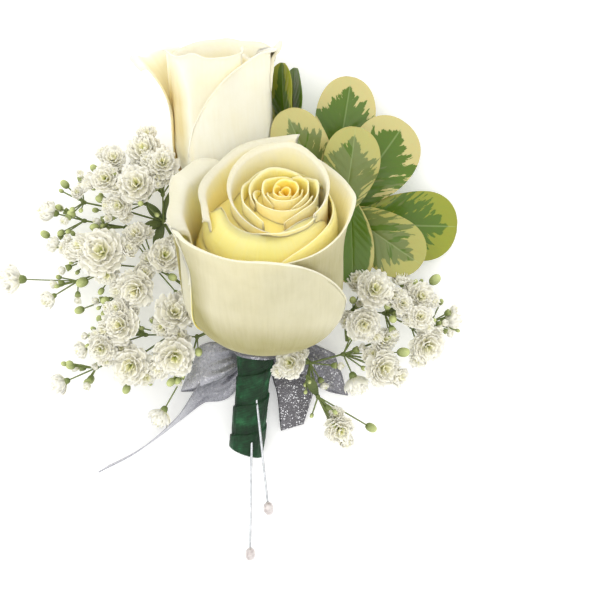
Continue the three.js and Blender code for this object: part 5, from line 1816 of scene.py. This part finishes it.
@dataclass(frozen=True)
class Strip:
    """One stretch of the ribbon.

    Attributes:
        path: the places that its middle passes.
        across: the direction across it at each place.
        widths: half its width at each place.
        slant: how much longer one side is than the other at the end.
        loop: True where both ends are gathered in the knot.
        painted_shade: painted light and shade, from 0 for a strip painted as lit to 1 for one painted as in
            shade.
    """

    path: Sequence[Triple]
    across: Sequence[Triple]
    widths: Sequence[float]
    slant: float = 0.0
    loop: bool = False
    painted_shade: float = 0.5

    def skin(self, number: int) -> Skin:
        """The strip as a thin closed blade: its width carried along its path, pleated where it is gathered.

        Args:
            number: which strip of the ribbon it is.

        Returns:
            The closed blade.
        """
        u, v = np.meshgrid(np.linspace(-1, 1, 25), np.linspace(0, 1, 90))
        aside = u.ravel()
        along = np.clip(v * (1 + self.slant * u * ramp(v, 0.5, 1)), 0, 1).ravel()
        tangent = unit(smooth_path(self.path, along + 1e-3) - smooth_path(self.path, along - 1e-3))
        side = unit(smooth_path(self.across, along))
        face = unit(np.cross(tangent, side))
        half = np.interp(along, np.linspace(0, 1, len(self.widths)), self.widths)
        start = 1 - ramp(along, 0, 0.6)
        gathered = np.maximum(1 - ramp(along, 0, 0.3), ramp(along, 0.7, 1)) if self.loop else start
        pleat = 0.5 * np.cos(1.5 * math.pi * aside) * start
        pleat = pleat + 0.4 * gathered * np.sin(3.5 * math.pi * aside + number)
        curl = 0.25 * np.sin(5 * along + 2 * number + 1.5 * aside) * aside**2
        middle = smooth_path(self.path, along)
        points = middle + (half * aside)[:, None] * side + (pleat + curl)[:, None] * face
        steps = np.diff(smooth_path(self.path, np.linspace(0, 1, 200)), axis=0)
        length = np.linalg.norm(steps, axis=1).sum()
        place = stack(u * 7.5, v * length, float(number))
        return blades(points.reshape(*u.shape, 3), 0.28, place, self.painted_shade, pressed=True)


KNOT = (-3.2, 1.6, 4.2)


@dataclass
class Ribbon:
    """The silver ribbon: two loops and two tails from a knot behind the neck, and a band round the tape.

    Attributes:
        strips: the loops and tails.
        knot_radius: radius of the knot.
        knot_length: its length.
        band_half: half the width of the band.
        width: the ribbon's real width; not used.
        length: the length that was cut; not used.
    """

    knot_radius: float = 2.65
    knot_length: float = 5.2
    band_half: float = 1.9
    width: float = 15.0
    length: float = 200.0
    # Each strip's shade value paints it as lit or as in shade.
    strips: Sequence[Strip] = (
        Strip(
            (KNOT, (-12, -1.6, 8.2), (-19, -3.2, 9.4), (-22.6, -4.2, 6.2), (-18, -3.8, 3.4), (-10, -1.2, 3),
             KNOT),
            ((0, 1, 0), (0.2, 0.98, 0), (0.32, 0.95, 0), (0.4, 0.9, 0), (0.32, 0.95, 0), (0.1, 1, 0),
             (0, 1, 0)),
            (2.4, 5.6, 7.5, 7.5, 7.5, 5, 2.4),
            loop=True,
            painted_shade=0.1,
        ),
        Strip(
            (KNOT, (8, -0.6, 5.6), (17, -3.6, 7.6), (23, -6, 5.6), (18, -5, 3), (9, -1.6, 2.6), KNOT),
            ((0, 1, 0), (0.1, 1, 0), (-0.2, 0.98, 0), (-0.3, 0.95, 0), (-0.2, 0.98, 0), (0, 1, 0), (0, 1, 0)),
            (2.4, 5, 6.6, 6.6, 6.4, 4.6, 2.4),
            loop=True,
            painted_shade=0.65,
        ),
        Strip(
            (KNOT, (-12, -7, 2.4), (-19.5, -12.2, 4.6), (-26.4, -19.6, 7.4), (-38, -28.8, 7.7),
             (-50.2, -35.2, 7.7)),
            ((-0.4, 0.9, 0), (-0.4, 0.9, 0.2), (-0.12, 0.3, 0.9), (0, 0.08, 1), (0, 0, 1), (0, 0, 1)),
            (2.4, 5.4, 6.6, 7.2, 7.5, 7.5),
            slant=0.05,
            painted_shade=0.2,
        ),
        Strip(
            (KNOT, (4.6, -1.2, 3.4), (9.4, -7, 3.6), (11.6, -21, 2)),
            ((0.3, 0.95, 0), (0.9, 0.4, 0), (0.96, 0.26, 0), (0.95, 0.28, 0.05)),
            (2.4, 5.2, 7, 7.2),
            slant=-0.34,
            painted_shade=1.0,
        ),
    )

    def knot(self) -> Skin:
        """The knot: a drum with gathers that run round it.

        Returns:
            The closed skin.
        """
        share, turn = np.meshgrid(np.linspace(-1, 1, 33), turns(48), indexing="ij")
        radius = self.knot_radius * np.sqrt(1 - 0.75 * share**2) * (1 + 0.05 * np.sin(14 * share + turn))
        steps = stack(*around(radius, turn), 0.5 * self.knot_length * share)
        # Left at tone 0, the knot is painted as lit.
        return rings(vec(*KNOT) + steps @ axes_along(vec(0.995, 0.1, 0.01)))

    def band(self) -> Skin:
        """The band: a flat ring round the tape with gathers that run along it.

        Returns:
            The closed skin.
        """
        turn, across = np.meshgrid(np.linspace(0, 2 * math.pi, 121), np.linspace(-1, 1, 25), indexing="ij")
        gathers = 0.18 * np.cos(2.5 * math.pi * across + 0.8 * np.sin(3 * turn))
        radius = TapeWrap().under_ribbon(turn, 0.97) + 0.42 + gathers
        grid = BUNDLE.at(*around(radius, turn), BUNDLE.length - self.band_half * (1 - across))
        # Its tone of 0.6 paints the band as half in shade.
        return blades(grid, 0.3, stack(across * 7.5, turn * 7, 0.0), 0.6)

    def build(self) -> None:
        """Makes the ribbon as one piece."""
        skins = [strip.skin(i) for i, strip in enumerate(self.strips)]
        skin = Skin.join([*skins, self.knot(), self.band()])
        piece = make_piece("silver_ribbon_bow", skin, SilverRibbon().build(), "silver_ribbon", "ribbon_bow")
        self.length * MM


@dataclass
class Pin:
    """A pin pushed into the tape: a pointed steel shank with a pearl head.

    Attributes:
        name: which pin.
        pearl: the middle of its head.
        towards: where it goes into the tape.
        length: from the middle of the head to the point.
        radius: radius of the shank.
        head: radius and half length of the head.
    """

    name: str
    pearl: Triple
    towards: Triple
    length: float = 38.0
    radius: float = 0.375
    head: Pair = (1.6, 2.1)

    def build(self, steel: bpy.types.Material, lacquer: bpy.types.Material) -> None:
        """Makes the shank, tapered at its point, and the oval head, both turned round the pin's axis.

        Args:
            steel: finish of the shank.
            lacquer: finish of the head.
        """
        at = vec(*self.pearl)
        along = unit(vec(*self.towards) - at)
        heights = np.array([0, 5, 15, 25, 33, 35, 36.5, 37.5, 37.95]) / 38 * self.length
        widths = np.array([1, 1, 1, 1, 1, 1, 0.7, 0.35, 0.08]) * self.radius
        shank = lathe(stack(widths, heights), 20, at, along)
        make_piece(f"{self.name}_steel_shank", shank, steel, "pin_steel", f"{self.name}_shank")
        turn = np.linspace(0.02, 0.98, 33) * math.pi
        wide, long = self.head
        # A small lacquer collar stands where the shank goes in.
        collar = 0.14 * np.exp(-(((turn / math.pi - 0.93) / 0.02) ** 2))
        head = lathe(stack(wide * np.sin(turn) + collar, -long * np.cos(turn)), 48, at, along)
        make_piece(f"{self.name}_pearl_head", head, lacquer, "pin_pearl", f"{self.name}_pearl")


PINS = (
    Pin("pin_1", (1, -46.3, 10.9), (-2.3, -16.35, 13)),
    Pin("pin_2", (-4.5, -60.1, 10.2), (-4.1, -27.2, 9.9)),
)


# The studio


@dataclass
class Studio:
    """A pale table, soft light and a camera that looks straight down.

    Attributes:
        middle: the point of the table in the middle of the view, in the maker's axes.
        width: width of the view at the height of the flowers.
        level: that height.
        distance: from the camera to that height, in metres.
        sensor: width of the camera's sensor, in millimetres.
        reach: how far the camera sees, in metres.
        floor: side of the table, in metres.
        room: strength of the room's own light.
    """

    middle: Pair = (10.5, 16.5)
    width: float = 180.0
    level: float = 22.0
    distance: float = 2.6
    sensor: float = 36.0
    reach: float = 20.0
    floor: float = 3.0
    room: float = 1.08

    def camera(self) -> None:
        """A camera far above the table with a long lens, so that it sees hardly any perspective."""
        data = bpy.data.cameras.new("camera")
        data.type = "PERSP"
        data.sensor_width = self.sensor
        data.lens = self.distance / MM * self.sensor / self.width
        data.clip_end = self.reach
        made = shown("camera", data)
        made.location = (vec(*self.middle, self.level) + SHIFT) * MM + vec(0, 0, self.distance)
        bpy.context.scene.camera = made

    def light(self, name: str, place: Triple, spread: float, power: float, colour: str) -> None:
        """Adds a far, very wide soft lamp.

        Args:
            name: which lamp.
            place: where its light comes from, in metres.
            spread: degrees of the cone that it comes over.
            power: its strength.
            colour: its sRGB hex colour.
        """
        data = bpy.data.lights.new(name, "SUN")
        data.angle, data.energy = math.radians(spread), power
        data.color = linear(colour)[:3]
        made = shown(name, data)
        made.location = place
        made.rotation_euler = (-Vector(place)).to_track_quat("-Z", "Y").to_euler()

    def table(self) -> None:
        """The pale table top that the boutonniere lies on: one square face at height 0."""
        half = 0.5 * self.floor
        mesh = bpy.data.meshes.new("table_top")
        corners = [(-half, -half, 0), (half, -half, 0), (half, half, 0), (-half, half, 0)]
        mesh.from_pydata(corners, [], [(0, 1, 2, 3)])
        mesh.materials.append(OpalTable().build())
        shown("table_top", mesh)

    def build(self) -> None:
        """Sets up camera, table, lamps and the room's own light."""
        self.camera()
        self.table()
        self.light("key_lamp", (-0.6, 0.1, 1.4), spread=60.0, power=0.66, colour="#FFFEFA")
        self.light("back_lamp", (0.2, 1.1, 1.2), spread=80.0, power=0.19, colour="#FFFDF6")
        self.light("fill_lamp", (0.5, -0.8, 1.4), spread=90.0, power=0.31, colour="#FFFEFA")
        world = bpy.data.worlds.new("room")
        world.use_nodes = True
        plug(world.node_tree.nodes["Background"], {"Color": linear("#FAFAFA"), "Strength": self.room})
        bpy.context.scene.world = world
        bpy.context.scene.view_settings.view_transform = "Standard"


def main() -> None:
    """Builds the studio and the boutonniere, piece by piece."""
    logging.basicConfig(level=logging.INFO, format="%(name)s %(message)s")
    Studio().build()
    stem_skin = STEM_SKIN.build()
    for rose in (FRONT_ROSE, BACK_ROSE):
        rose.build(stem_skin)
    leaf, bark = VariegatedLeaf().build(), TWIG_BARK.build()
    route = ((3.6, 12.5, 6), (11.5, 25, 3.8), (18, 35, 6.8), (22, 43, 11), (22.3, 47, 12.5))
    twig = BUNDLE.stem("twig", route, 50)
    Sprig("pittosporum_sprig", LEAVES, twig, radius=1.0, foot=(21, 41, 10.5)).build(leaf, bark)
    route = [(22, 31, 4), (17.5, 42, 4.2), (12.5, 52, 5.5), (10, 60, 7.6)]
    side_twig = smooth_path(route, np.linspace(0, 1, 40))
    side_sprig = Sprig("pittosporum_side_sprig", SIDE_LEAVES, side_twig, radius=0.8, foot=(12.5, 52, 5.5))
    side_sprig.build(leaf, bark)
    white, green = WHITE_PETAL.build(), STALK_SKIN.build()
    for spray in SPRAYS:
        spray.build(white, green)
    TapeWrap().build()
    Ribbon().build()
    steel, lacquer = STEEL_WIRE.build(), PEARL_LACQUER.build()
    for pin in PINS:
        pin.build(steel, lacquer)


if __name__ == "__main__":
    main()
